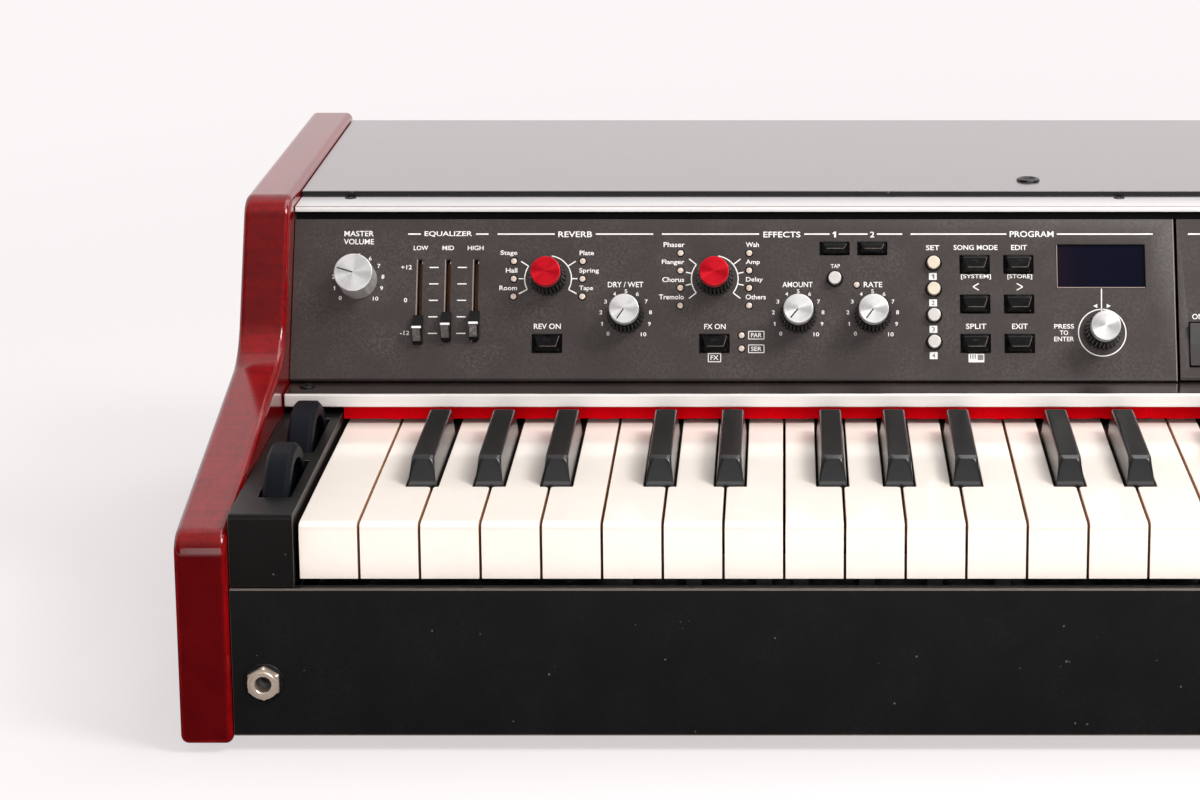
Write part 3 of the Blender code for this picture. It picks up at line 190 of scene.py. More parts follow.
def circle(radius, count=32, x=0.0, y=0.0):
    """Circle of points about a middle point."""
    angle = np.arange(count) / count * 2 * np.pi
    return np.stack([x + radius * np.cos(angle), y + radius * np.sin(angle)], -1)


def inward(outline):
    """Unit step into the outline at each point: the mean of its two side normals, mitred."""
    along = np.roll(outline, -1, axis=0) - outline
    along /= np.maximum(np.linalg.norm(along, axis=1, keepdims=True), 1e-9)
    normal = np.stack([-along[:, 1], along[:, 0]], -1)
    mean = normal + np.roll(normal, 1, axis=0)
    mean /= np.maximum((mean * normal).sum(1, keepdims=True), 0.3)
    u, v = outline.T
    area = (u * np.roll(v, -1) - np.roll(u, -1) * v).sum()
    return mean * np.sign(area)


print("points of a rounded square:", len(box_outline(10, 10)))

# %% [markdown]
# ## Plates, turned forms and drawn forms
#
# Three ways of closing an outline cover nearly all parts. A slab is a plate with quarter-round rims, as a
# pressed or routed plate has. A turned form carries a profile round an axis, as a lathe does, and its
# radius can swell and fall to give ribs. A drawn form joins sections along a line. A Bevel could round the
# plates too, but worked-out rims keep the same number of points all round, so they never pinch.

# %% Functions for closed forms
def slab(outline, low, high, place, edge=0.3, steps=3):
    """A plate between two levels with quarter-round rims: inset edge * (1 - sin), level edge * (1 - cos)."""
    turn = np.linspace(0, np.pi / 2, steps + 1)
    inset = edge * (1 - np.sin(turn))
    level = edge * (1 - np.cos(turn))
    insets = np.concatenate([inset, inset[::-1]])
    levels = np.concatenate([low + level, high - level[::-1]])
    flat = outline[None] + insets[:, None, None] * inward(outline)[None]
    return skin(place(flat[..., 0], flat[..., 1], levels[:, None]))


def turned(profile, x, y, place, count=48, ribs=0, depth=0.0, ribbed=None):
    """A turned form: each (radius, out) of the profile runs round its axis.

    With ribs, the radius falls by depth * (1 - |cos|) between one rib and the next, on the ribbed rows.
    """
    profile = np.array(profile, float)
    angle = np.arange(count) / count * 2 * np.pi
    radius = np.repeat(profile[:, :1], count, axis=1)
    if ribs:
        radius = radius - np.array(ribbed, float)[:, None] * depth * (1 - np.abs(np.cos(ribs * angle / 2)))
    return skin(place(x + radius * np.sin(angle), y + radius * np.cos(angle), profile[:, 1:]))


def drawn(sections):
    """Sections along a line, (sections, points, 3), joined into a closed form."""
    return skin(np.asarray(sections))


def strip(outline, x):
    """A (depth, height) outline drawn between two distances along x."""
    outline = np.array(outline, float)
    return skin(across(outline[None, :, 0], outline[None, :, 1], np.array([[x[0]], [x[1]]], float)))


print("points of a turned disc:", len(turned([(5, 0), (5, 1)], 0, 0, on_panel).points))

# %% [markdown]
# ## From a shape to a piece
#
# A piece is a mesh with one finish that rides on a body. Doubled points, as at the tip of an arc, are
# merged and the faces are turned outwards before the mesh is used. Edges under a given angle are shaded
# smooth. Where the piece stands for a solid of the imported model, that solid is hidden.

# %% Function for pieces
made_pieces = []


def keep_flat(made):
    """Shading normals weighted by face area: large flat faces stay flat and only the rounded rims bend."""
    weigh = made.modifiers.new("area weighted normals", "WEIGHTED_NORMAL")
    weigh.keep_sharp = True


def piece(name, shape, look, body="case", node=None, smooth=35):
    """Make a mesh object of a shape, let it ride on a body, and hide the solids that it stands for."""
    points, quads, caps = shape
    mesh = bpy.data.meshes.new(name)
    mesh.from_pydata(points.tolist(), [], quads.tolist() + caps)
    bm = bmesh.new()
    bm.from_mesh(mesh)
    bmesh.ops.remove_doubles(bm, verts=bm.verts, dist=2e-6)
    bmesh.ops.dissolve_degenerate(bm, edges=bm.edges, dist=1e-6)
    bmesh.ops.recalc_face_normals(bm, faces=bm.faces)
    bm.to_mesh(mesh)
    bm.free()
    mesh.shade_smooth()
    mesh.set_sharp_from_angle(angle=math.radians(smooth))
    mesh.materials.append(look)
    made = bpy.data.objects.new(name, mesh)
    scene.collection.objects.link(made)
    keep_flat(made)
    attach(made, body)
    if node:
        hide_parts(*([node] if isinstance(node, str) else node))
    made_pieces.append(made)
    return made

# %% [markdown]
# ## Softened copies of solids
#
# Folded sheets and moulded boxes are right as solids, but no real edge is as sharp as theirs. They could
# be drawn again from their profiles. A copy of the solid, with its triangles merged into flat faces, is
# surer, because it can't leave the solid's size. A Bevel modifier rounds the edges, and on some pieces the
# bevel's own faces get a paler second finish, a painted highlight along the edge.

# %% Function for softened copies
def softened(node, look, width, segments=3, body="case", fold=None, edge_look=None):
    """A copy of a solid with its doubles merged, its flat faces joined and its edges rounded by a Bevel.

    fold is a (depth, height) line along x: where it is given, only the edges that lie on it are rounded.
    edge_look is a second finish for the rounded edges: a paler tone that paints a highlight along them.
    """
    source = frame["nodes"][node]
    mesh = source.data.copy()
    mesh.name = f"{node}_soft"
    bm = bmesh.new()
    bm.from_mesh(mesh)
    bmesh.ops.remove_doubles(bm, verts=bm.verts, dist=1e-6)
    bmesh.ops.dissolve_limit(bm, angle_limit=math.radians(1), verts=bm.verts, edges=bm.edges)
    bm.to_mesh(mesh)
    bm.free()
    mesh.materials.clear()
    mesh.materials.append(look)
    mesh.polygons.foreach_set("material_index", np.zeros(len(mesh.polygons), np.int32))
    made = bpy.data.objects.new(f"{node}_soft", mesh)
    scene.collection.objects.link(made)
    bevel = made.modifiers.new("rounded edges", "BEVEL")
    bevel.width = width * 0.001
    bevel.segments = segments
    bevel.limit_method = "ANGLE"
    bevel.angle_limit = math.radians(35)
    if edge_look:
        mesh.materials.append(edge_look)
        bevel.material = 1
    if fold:
        points = np.zeros(len(mesh.vertices) * 3)
        mesh.vertices.foreach_get("co", points)
        ends = np.zeros(len(mesh.edges) * 2, np.int32)
        mesh.edges.foreach_get("vertices", ends)
        away = np.abs(points.reshape(-1, 3)[:, 1:] - in_frame(0.0, *fold)[1:]).max(1) < 2e-5
        chosen = away[ends.reshape(-1, 2)].all(1).astype(np.float32)
        mesh.attributes.new("bevel_weight_edge", "FLOAT", "EDGE").data.foreach_set("value", chosen)
        bevel.limit_method = "WEIGHT"
        print(f"{node}: {int(chosen.sum())} edges on the fold")
    mesh.shade_smooth()
    keep_flat(made)
    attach(made, body)
    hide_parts(node)
    made_pieces.append(made)
    return made


# %% [markdown]
# ## Effects that several finishes share
#
# A real finish is never one flat value. Powder coat and moulded plastic have a fine grain, drawn metal has
# marks in one direction, polished faces carry faint smudges, and a few specks of dust lie on everything.
# Each effect is a node group that puts out values only, so that every finish can use it in its own measure.

# %% Helpers for node groups
def new_group(name, inputs, outputs):
    """An empty group with (label, value) inputs and labelled float outputs, and its two end nodes."""
    tree = bpy.data.node_groups.new(name, "ShaderNodeTree")
    for label, value in inputs:
        tree.interface.new_socket(label, in_out="INPUT", socket_type="NodeSocketFloat").default_value = value
    for label in outputs:
        tree.interface.new_socket(label, in_out="OUTPUT", socket_type="NodeSocketFloat")
    return tree, tree.nodes.new("NodeGroupInput"), tree.nodes.new("NodeGroupOutput")


def math_node(tree, operation, *inputs):
    """A Math node whose inputs are sockets or numbers; returns its output socket."""
    node = tree.nodes.new("ShaderNodeMath")
    node.operation = operation
    for index, value in enumerate(inputs):
        if isinstance(value, (int, float)):
            node.inputs[index].default_value = value
        else:
            tree.links.new(value, node.inputs[index])
    return node.outputs[0]


def stretched_place(tree, stretch):
    """Object coordinates multiplied by a stretch for each axis."""
    place = tree.nodes.new("ShaderNodeTexCoord")
    mapping = tree.nodes.new("ShaderNodeMapping")
    mapping.inputs["Scale"].default_value = stretch
    tree.links.new(place.outputs["Object"], mapping.inputs["Vector"])
    return mapping.outputs["Vector"]


def noise(tree, place, scale, detail=2.0, roughness=0.5, distortion=0.0):
    """A noise texture read at a place; scale is a number or a socket."""
    node = tree.nodes.new("ShaderNodeTexNoise")
    tree.links.new(place, node.inputs["Vector"])
    if isinstance(scale, (int, float)):
        node.inputs["Scale"].default_value = scale
    else:
        tree.links.new(scale, node.inputs["Scale"])
    node.inputs["Detail"].default_value = detail
    node.inputs["Roughness"].default_value = roughness
    node.inputs["Distortion"].default_value = distortion
    return node.outputs["Fac"]


def ramp(tree, value, low, high):
    """A smooth step of a value from 0 at low to 1 at high."""
    node = tree.nodes.new("ShaderNodeMapRange")
    node.interpolation_type = "SMOOTHSTEP"
    node.inputs["From Min"].default_value = low
    node.inputs["From Max"].default_value = high
    tree.links.new(value, node.inputs["Value"])
    return node.outputs["Result"]


# %% [markdown]
# ## Grain of coat and plastic
#
# Powder coat cures into a skin of tiny bumps, and moulded plastic copies the etched grain of its mould. A
# picture of such a grain would repeat, and blur close up. Noise on Object coordinates does neither. A fine
# noise gives the bumps, and its product with a broad one gives pale flecks that gather in patches.

# %% Grain of powder coat and moulded plastic
grain_group, inside, outside = new_group("fine_grain", [("Scale", 900.0)], ["Height", "Fleck"])
place = stretched_place(grain_group, (1, 1, 1))
fine = noise(grain_group, place, inside.outputs["Scale"], detail=3.0, roughness=0.6)
broad = noise(grain_group, place, 55.0, detail=2.0)
grain_group.links.new(fine, outside.inputs["Height"])
patches = ramp(grain_group, broad, 0.2, 0.8)
fleck = math_node(grain_group, "MULTIPLY", ramp(grain_group, fine, 0.35, 0.7), patches)
grain_group.links.new(fleck, outside.inputs["Fleck"])

# %% [markdown]
# ## Brushed metal
#
# The trim and the rail were brushed along their length, so their marks run along x. The same noise as for
# the grain would do, but squeezed: a Mapping node shrinks the x coordinate to a fiftieth, so that every
# blot is drawn out into a streak.

# %% Marks of brushing along x
brush_group, inside, outside = new_group("brush_marks", [("Scale", 60.0)], ["Streak"])
place = stretched_place(brush_group, (0.02, 1, 1))
density = math_node(brush_group, "MULTIPLY", inside.outputs["Scale"], 40.0)
streak = noise(brush_group, place, density, detail=4.0)
brush_group.links.new(streak, outside.inputs["Streak"])

# %% [markdown]
# ## Smudges
#
# Keys, buttons and the display are touched all day. A thin film from fingers changes the gloss more than
# the colour. It is a noise with strong detail and a little distortion, cut by a smooth step into soft
# islands.

# %% Smudges on polished faces
smudge_group, inside, outside = new_group("smudges", [("Scale", 30.0)], ["Film"])
place = stretched_place(smudge_group, (1, 1, 1))
film = noise(smudge_group, place, inside.outputs["Scale"], detail=5.0, roughness=0.65, distortion=0.6)
smudge_group.links.new(ramp(smudge_group, film, 0.35, 0.75), outside.inputs["Film"])

# %% [markdown]
# ## Dust
#
# Dust on black steel shows as single bright specks. Scattered small meshes would be heavy. A Voronoi
# texture has one point for each cell, and the distance to it is small only in a tiny disc. A second noise
# keeps the disc in some cells and drops it in the others.

# %% Specks of dust
dust_group, inside, outside = new_group("dust", [("Scale", 380.0), ("Amount", 0.5)], ["Speck"])
place = stretched_place(dust_group, (1, 1, 1))
cells = dust_group.nodes.new("ShaderNodeTexVoronoi")
dust_group.links.new(place, cells.inputs["Vector"])
dust_group.links.new(inside.outputs["Scale"], cells.inputs["Scale"])
near = math_node(dust_group, "LESS_THAN", cells.outputs["Distance"], 0.16)
chosen = math_node(dust_group, "GREATER_THAN", noise(dust_group, place, 170.0, detail=1.0), 0.7)
disc = math_node(dust_group, "MULTIPLY", near, chosen)
speck = math_node(dust_group, "MULTIPLY", disc, inside.outputs["Amount"])
dust_group.links.new(speck, outside.inputs["Speck"])

# %% [markdown]
# ## Grain of the wood
#
# The sides are red-stained planks under lacquer. Their grain runs along the arm, so all noises are
# stretched that way. A broad noise is the figure, a fine one the fibre, and a third one across them the
# ripple that lacquered wood shows. The darkest fibres are also put out by themselves, as pores.

# %% Grain of the wood along the arm and up the upright
wood_group, inside, outside = new_group("wood_figure", [("Scale", 1.0)], ["Figure", "Pore"])
place = stretched_place(wood_group, (9, 1, 9))
figure = noise(wood_group, place, 10.0, detail=4.0, roughness=0.55, distortion=0.5)
fibre = noise(wood_group, stretched_place(wood_group, (60, 3, 60)), 14.0, detail=3.0, roughness=0.6)
flame = noise(wood_group, stretched_place(wood_group, (3, 60, 8)), 12.0, detail=3.0, roughness=0.6)
mixed = math_node(wood_group, "ADD", math_node(wood_group, "MULTIPLY", figure, 0.3),
                  math_node(wood_group, "MULTIPLY", math_node(wood_group, "ADD", fibre, flame), 0.35))
wood_group.links.new(mixed, outside.inputs["Figure"])
wood_group.links.new(ramp(wood_group, fibre, 0.62, 0.72), outside.inputs["Pore"])
print("groups:", [tree.name for tree in bpy.data.node_groups])

# %% [markdown]
# ## Finishes
#
# Each finish is one material around a Principled shader. Values that are the same all over sit on the
# shader's own sockets. A group feeds only what changes over the surface: the colour between two tones, the
# roughness between two values, and a low bump.

# %% Functions for finishes
def tone(red, green, blue):
    """A colour seen on screen, 0 to 255, as the linear values that a shader works with."""
    value = np.array([red, green, blue]) / 255
    linear = np.where(value <= 0.04045, value / 12.92, ((value + 0.055) / 1.055) ** 2.4)
    return (*linear.tolist(), 1.0)


def finish(name, colour, roughness, metallic=0.0, coat=0.0, coat_roughness=0.05, level=0.5):
    """A material with constant values on its shader; returns the material and the shader."""
    material = bpy.data.materials.new(name)
    material.use_nodes = True
    shader = material.node_tree.nodes["Principled BSDF"]
    shader.inputs["Base Color"].default_value = colour
    shader.inputs["Roughness"].default_value = roughness
    shader.inputs["Metallic"].default_value = metallic
    shader.inputs["Coat Weight"].default_value = coat
    shader.inputs["Coat Roughness"].default_value = coat_roughness
    shader.inputs["Specular IOR Level"].default_value = level
    material.diffuse_color = colour
    return material, shader


def use_group(material, group, **values):
    """Place a group in a material with its own values."""
    node = material.node_tree.nodes.new("ShaderNodeGroup")
    node.node_tree = group
    for label, value in values.items():
        node.inputs[label].default_value = value
    return node


def vary_colour(material, value, first, second):
    """Base colour between two tones; a later call lies over the earlier one."""
    tree = material.node_tree
    shader = tree.nodes["Principled BSDF"]
    mix = tree.nodes.new("ShaderNodeMix")
    mix.data_type = "RGBA"
    tree.links.new(value, mix.inputs["Factor"])
    mix.inputs["B"].default_value = second
    if first is None:
        earlier = shader.inputs["Base Color"]
        if earlier.is_linked:
            tree.links.new(earlier.links[0].from_socket, mix.inputs["A"])
        else:
            mix.inputs["A"].default_value = earlier.default_value
    else:
        mix.inputs["A"].default_value = first
    tree.links.new(mix.outputs["Result"], shader.inputs["Base Color"])


def vary_roughness(material, value, low, high):
    """Roughness between two values."""
    tree = material.node_tree
    spread = tree.nodes.new("ShaderNodeMapRange")
    spread.inputs["To Min"].default_value = low
    spread.inputs["To Max"].default_value = high
    tree.links.new(value, spread.inputs["Value"])
    tree.links.new(spread.outputs["Result"], tree.nodes["Principled BSDF"].inputs["Roughness"])


def emboss(material, height, depth):
    """A bump of a depth in millimetres that feeds the shader's normal."""
    tree = material.node_tree
    bump = tree.nodes.new("ShaderNodeBump")
    bump.inputs["Distance"].default_value = depth * 0.001
    tree.links.new(height, bump.inputs["Height"])
    tree.links.new(bump.outputs["Normal"], tree.nodes["Principled BSDF"].inputs["Normal"])


def facing_share(material, axis, low):
    """How squarely a face looks along an axis: a smooth step from low to 1 of the normal's absolute share."""
    tree = material.node_tree
    surface = tree.nodes.new("ShaderNodeNewGeometry")
    axes = tree.nodes.new("ShaderNodeSeparateXYZ")
    tree.links.new(surface.outputs["Normal"], axes.inputs[0])
    return ramp(tree, math_node(tree, "ABSOLUTE", axes.outputs[axis]), low, 1.0)


DUST_TONE = tone(150, 148, 146)


def grained(name, colour, fleck, roughness, scale=900.0, depth=0.03, spread=0.06, dust=0.0, **values):
    """A finish with fine grain: powder coat, felt or moulded plastic."""
    material, _ = finish(name, colour, roughness, **values)
    grain = use_group(material, grain_group, Scale=scale)
    vary_colour(material, grain.outputs["Fleck"], colour, fleck)
    vary_roughness(material, grain.outputs["Height"], roughness - spread, roughness + spread)
    if dust:
        specks = use_group(material, dust_group, Amount=dust)
        vary_colour(material, specks.outputs["Speck"], None, DUST_TONE)
    emboss(material, grain.outputs["Height"], depth)
    return material


def brushed(name, dark, bright, roughness, scale=60.0, depth=0.01, metallic=1.0, **values):
    """Drawn or brushed metal: streaks along x in colour, roughness and bump."""
    material, _ = finish(name, bright, roughness, metallic=metallic, **values)
    marks = use_group(material, brush_group, Scale=scale)
    vary_colour(material, marks.outputs["Streak"], dark, bright)
    vary_roughness(material, marks.outputs["Streak"], roughness - 0.08, roughness + 0.1)
    emboss(material, marks.outputs["Streak"], depth)
    return material


def polished(name, colour, other, low, high, scale=30.0, **values):
    """A smooth glossy finish with faint smudges."""
    material, _ = finish(name, colour, low, **values)
    film = use_group(material, smudge_group, Scale=scale)
    vary_colour(material, film.outputs["Film"], colour, other)
    vary_roughness(material, film.outputs["Film"], low, high)
    return material


# %% [markdown]
# ## Lacquered wood
#
# Stain soaks unevenly into wood, deepest into end grain, and a clear lacquer lies over it. The shader's
# coat stands for the lacquer. Under it the colour goes between two reds by the figure, pores are darker,
# and faces that look forward or back, where the fibres end, are darkened by the direction of their normal:
# partly the deeper stain of end grain, partly painted shade that keeps them darker than the lit tops.

# %% The wood's finish
cherry, _ = finish("cherry_lacquer", tone(90, 4, 7), 0.3, coat=1.0, coat_roughness=0.1, level=0.02)
tree = cherry.node_tree
figure = use_group(cherry, wood_group)
vary_colour(cherry, ramp(tree, figure.outputs["Figure"], 0.3, 0.7), tone(90, 0, 2), tone(142, 5, 10))
vary_colour(cherry, math_node(tree, "MULTIPLY", figure.outputs["Pore"], 0.5), None, tone(52, 0, 1))
# Faces that look forward or back are darker: partly end-grain stain, partly painted shade against the lit tops.
end_grain_and_painted_shade = math_node(tree, "MULTIPLY", facing_share(cherry, "Y", 0.75), 0.8)
vary_colour(cherry, end_grain_and_painted_shade, None, tone(72, 0, 2))
vary_roughness(cherry, figure.outputs["Figure"], 0.3, 0.42)
emboss(cherry, figure.outputs["Figure"], 0.02)
print("nodes of the wood's finish:", len(tree.nodes))

# %% [markdown]
# ## Coats, metals and felt
#
# The steel is powder-coated in black, the lid in a glossier warm grey, the panel in a dull brown-black. The
# lid's coat has a high index, so that it mirrors the bright room at a low angle as the real one does. Each
# coat is one call, with two close tones and the size and depth of its grain.

# %% The finishes of the case
black_coat = grained("black_powder_coat", tone(12, 11, 12), tone(23, 22, 23), 0.45, scale=1500, depth=0.03,
                     dust=0.35, level=0.25)
cover_paint = grained("cover_paint", tone(72, 59, 61), tone(80, 67, 69), 0.32, scale=1200, depth=0.01, dust=0.2,
                      coat=1.0, coat_roughness=0.14, level=0.8)
cover_paint.node_tree.nodes["Principled BSDF"].inputs["Coat IOR"].default_value = 2.05
panel_paint = grained("panel_paint", tone(54, 47, 45), tone(76, 69, 66), 0.36, scale=900, depth=0.02)
box_plastic = grained("box_plastic", tone(15, 14, 13), tone(23, 21, 20), 0.38, level=0.18, scale=1600,
                      depth=0.015, dust=0.3)
felt = grained("red_felt", tone(186, 0, 12), tone(232, 2, 20), 0.95, scale=2600, depth=0.25, spread=0.04,
               level=0.05)
bright_trim = brushed("bright_trim", tone(218, 217, 217), tone(236, 235, 235), 0.3, scale=70, depth=0.003,
                      metallic=0.25)
rail_metal = brushed("rail_metal", tone(180, 172, 168), tone(208, 201, 197), 0.18, scale=45, depth=0.004)
# A paler, rougher finish for the rail's front: partly a satin face, partly painted light that keeps it bright.
rail_front_satin_and_lit = brushed("rail_front_satin_and_lit", tone(232, 228, 225), tone(250, 247, 244), 0.42, scale=45, depth=0.006,
                     metallic=0.15)
# A tone for thin lines along edges and folds: painted highlights on the dark panel, painted shade on the bright
# trim.
painted_edge_tone = brushed("painted_edge_light_and_shade", tone(140, 128, 120), tone(162, 148, 140), 0.4, scale=60, depth=0.004,
                   metallic=0.2)
# Matte black: the dark joint round the rail's screws, and painted shadow in the strip under the trim's lip.
joint_and_shadow_black = grained("dark_joint_and_painted_shadow", tone(3, 3, 4), tone(9, 9, 10), 0.85, scale=1200, depth=0.04, level=0.1)
zinc = brushed("zinc_steel", tone(140, 140, 142), tone(176, 176, 178), 0.4, scale=20, depth=0.01)
# Paler tones for rounded edges: painted highlights along the folds of the case and the edges of the boxes.
black_edge_highlight = grained("black_edge_highlight", tone(84, 75, 70), tone(110, 99, 93), 0.34, scale=1500, depth=0.01)
box_edge_highlight = grained("box_edge_highlight", tone(84, 76, 70), tone(110, 99, 92), 0.3, scale=1500, depth=0.01)
print("finishes so far:", len(bpy.data.materials))

# %% [markdown]
# ## Finishes of keys and controls
#
# White keys are glossy, and their flanks are a darker, warmer tone: painted shade for the little light that
# reaches them through narrow gaps.
# Sharps are a fine-grained black, wheels a dull blue-black, caps spun aluminium or red anodised metal. Each
# line gives two close tones and a roughness, chosen beside the photograph.

# %% The finishes of the keys, wheels and controls
white_key = polished("white_key_plastic", tone(252, 243, 234), tone(248, 239, 229), 0.1, 0.18, scale=25)
# The flanks get a darker, warmer tone: painted shade where light reaches only through the gaps between keys.
vary_colour(white_key, facing_share(white_key, "X", 0.8), None, tone(226, 188, 156))
black_key = grained("black_key_plastic", tone(16, 16, 17), tone(22, 22, 23), 0.24, scale=2200, depth=0.005)
wheel_plastic = grained("wheel_plastic", tone(9, 12, 18), tone(16, 20, 28), 0.5, scale=1800, depth=0.01,
                        level=0.1)
knob_metal = brushed("spun_aluminium", tone(214, 214, 213), tone(240, 240, 239), 0.36, scale=130, depth=0.002,
                     metallic=0.65)
red_metal = brushed("red_anodised", tone(206, 8, 28), tone(232, 22, 44), 0.34, scale=130, depth=0.002,
                    metallic=0.6)
skirt_plastic = grained("knob_skirt", tone(2, 2, 2), tone(5, 5, 5), 0.22, scale=2500, depth=0.004, level=0.4)
button_gloss = polished("button_gloss", tone(6, 6, 7), tone(9, 9, 10), 0.24, 0.34, scale=90, level=0.22)
# A paler tone for the lines of the buttons' crowns: a painted highlight along their bottom and right edges.
button_highlight_line = polished("button_highlight_line", tone(92, 82, 77), tone(118, 106, 99), 0.2, 0.3, scale=400)
button_window = polished("button_window", tone(44, 38, 38), tone(50, 44, 44), 0.2, 0.3, scale=200)
cap_silver = polished("button_silver", tone(222, 218, 214), tone(206, 202, 198), 0.28, 0.38, scale=200,
                      metallic=0.3)
cap_warm = polished("button_warm", tone(228, 217, 198), tone(216, 204, 184), 0.28, 0.38, scale=200,
                    metallic=0.2)
slider_black = grained("slider_black", tone(8, 8, 8), tone(14, 14, 14), 0.46, scale=2200, depth=0.01, level=0.2)
slider_face = grained("slider_face", tone(84, 80, 78), tone(160, 155, 152), 0.45, scale=900, depth=0.02)
slot_brown = grained("slot_lining", tone(110, 68, 30), tone(138, 88, 43), 0.5, scale=1500, depth=0.01)
print_white = polished("white_print", tone(244, 243, 240), tone(236, 235, 232), 0.45, 0.55, scale=200)
print_grey = polished("grey_print", tone(120, 116, 114), tone(128, 124, 122), 0.5, 0.6, scale=200)
lens_cream = polished("lamp_lens", tone(226, 208, 194), tone(176, 160, 148), 0.25, 0.32, scale=900)
pointer_ink = polished("pointer_ink", tone(46, 34, 28), tone(58, 44, 36), 0.5, 0.6, scale=300, level=0.1)
screen = polished("display_window", tone(12, 13, 28), tone(14, 15, 31), 0.1, 0.16, scale=40, level=0.12)
tree = screen.node_tree
side = tree.nodes.new("ShaderNodeSeparateXYZ")
tree.links.new(stretched_place(tree, (1, 1, 1)), side.inputs[0])
vary_colour(screen, ramp(tree, side.outputs["X"], -0.185, -0.2), None, tone(26, 18, 30))
nickel = brushed("nickel_plate", tone(222, 204, 186), tone(246, 230, 213), 0.34, scale=30, depth=0.004,
                 metallic=0.7)
black_screw = polished("black_screw", tone(14, 13, 13), tone(24, 22, 22), 0.26, 0.36, scale=300, metallic=0.15)
socket_plastic = grained("socket_plastic", tone(26, 26, 27), tone(34, 34, 35), 0.4, scale=1500, depth=0.01)
board_green = grained("circuit_board", tone(14, 74, 40), tone(24, 92, 52), 0.4, scale=400, depth=0.01)
stem_steel = brushed("stem_steel", tone(150, 150, 150), tone(190, 190, 190), 0.3, scale=30, depth=0.004)
rocker_grey = grained("rocker_plastic", tone(50, 48, 47), tone(60, 58, 57), 0.4, scale=1800, depth=0.012)
print("finishes:", len(bpy.data.materials))

# %% [markdown]
# ## Wooden sides
#
# Each side is a plank with a long arm beside the keys and an upright as steep as the panel, joined by a
# hollow curve. The lacquer is glossy, so facets would show at once. The outline is drawn with fine arcs,
# and the edge is a quarter round whose inset and level follow sine and cosine.

# %% Sides
side_outline = round_corners([(-9, -87.5, 4), (380, -87.5, 4), (380, 91, 4), (175.6, 91, 12),
                              (146.3, 28.3, 27), (-9, -2.8, 10)], steps=14)
SIDE_THICKNESS, SIDE_EDGE, FIT_GAP = 20.3, 3.0, 0.3
for name, low in (("side_left", -FIT_HALF - FIT_GAP - SIDE_THICKNESS), ("side_right", FIT_HALF + FIT_GAP)):
    side = slab(side_outline, low, low + SIDE_THICKNESS, across, edge=SIDE_EDGE, steps=6)
    piece(f"{name}_wood", side, cherry, node=name, smooth=30)
print("points round a side:", len(side_outline))

# %% [markdown]
# ## Where each key lies
#
# White keys are 23.5 mm apart on every such instrument. A sharp isn't in the middle between two of them: it
# is shifted to one side, as its note asks, so that the stems of the white keys get similar widths. An
# octave could be modelled and copied. Counting notes gives every key its place by one rule, and the
# outermost keys come out right by themselves.

# %% Where each key lies
KEY_PITCH = 23.5
FIRST_NOTE = 28
NOTES = range(FIRST_NOTE, FIRST_NOTE + 73)
SHARPS = (1, 3, 6, 8, 10)
SHARP_SHIFT = {1: -2.9, 3: 1.8, 6: -4.1, 8: -0.8, 10: 2.7}
NOTE_NAMES = "c c_sharp d d_sharp e f f_sharp g g_sharp a a_sharp b".split()
PLAYED = dict(zip(range(36, 48), NOTE_NAMES))
KEYS_HALF = sum(note % 12 not in SHARPS for note in NOTES) * KEY_PITCH / 2
KEY_GAP, STEM_GAP = 1.0, 6.55
PIVOT_DEPTH, PIVOT_HEIGHT, PIVOT_RADIUS = 205.0, -7.5, 6.5
SKIRT_BOTTOM, BODY_BOTTOM, SHARP_HEIGHT = -22.5, -14.0, 11.3


def white_start(note):
    """Left boundary of the next white key at a note."""
    return -KEYS_HALF + sum(n % 12 not in SHARPS for n in range(FIRST_NOTE, note)) * KEY_PITCH


def sharp_middle(note):
    """Middle of a sharp."""
    return white_start(note) + SHARP_SHIFT[note % 12]


def key_sides(note):
    """Left and right side of a white key's head, and of its stem."""
    left = white_start(note) + KEY_GAP / 2
    right = left + KEY_PITCH - KEY_GAP
    stem_left, stem_right = left, right
    if note - 1 in NOTES and (note - 1) % 12 in SHARPS:
        stem_left = sharp_middle(note - 1) + STEM_GAP
    if note + 1 in NOTES and (note + 1) % 12 in SHARPS:
        stem_right = sharp_middle(note + 1) - STEM_GAP
    return left, right, stem_left, stem_right


print("keys:", len(NOTES), "half width of the white ones:", KEYS_HALF)

# %% [markdown]
# ## A white key
#
# A white key is a section across its width that is drawn along its length: the top edges are small quarter
# rounds, the top rolls down at the front, and the section narrows beside a sharp. Cutting the notch with a
# Boolean would leave hard corners. A few rows with a growing inset draw its small inner round instead.

# %% Functions for white keys
def tail_rows(played):
    """(depth, bottom, top) rows of a key's rear end: a barrel about the pivot, or a plain end."""
    if not played:
        return np.array([[212.0, BODY_BOTTOM, -1.0]])
    turn = np.radians([0, 20, 40, 60, 80])
    reach, half = PIVOT_RADIUS * np.sin(turn), PIVOT_RADIUS * np.cos(turn)
    return np.stack([PIVOT_DEPTH + reach, PIVOT_HEIGHT - half, PIVOT_HEIGHT + half], -1)


LIP_ROLL = math.radians(66.2)


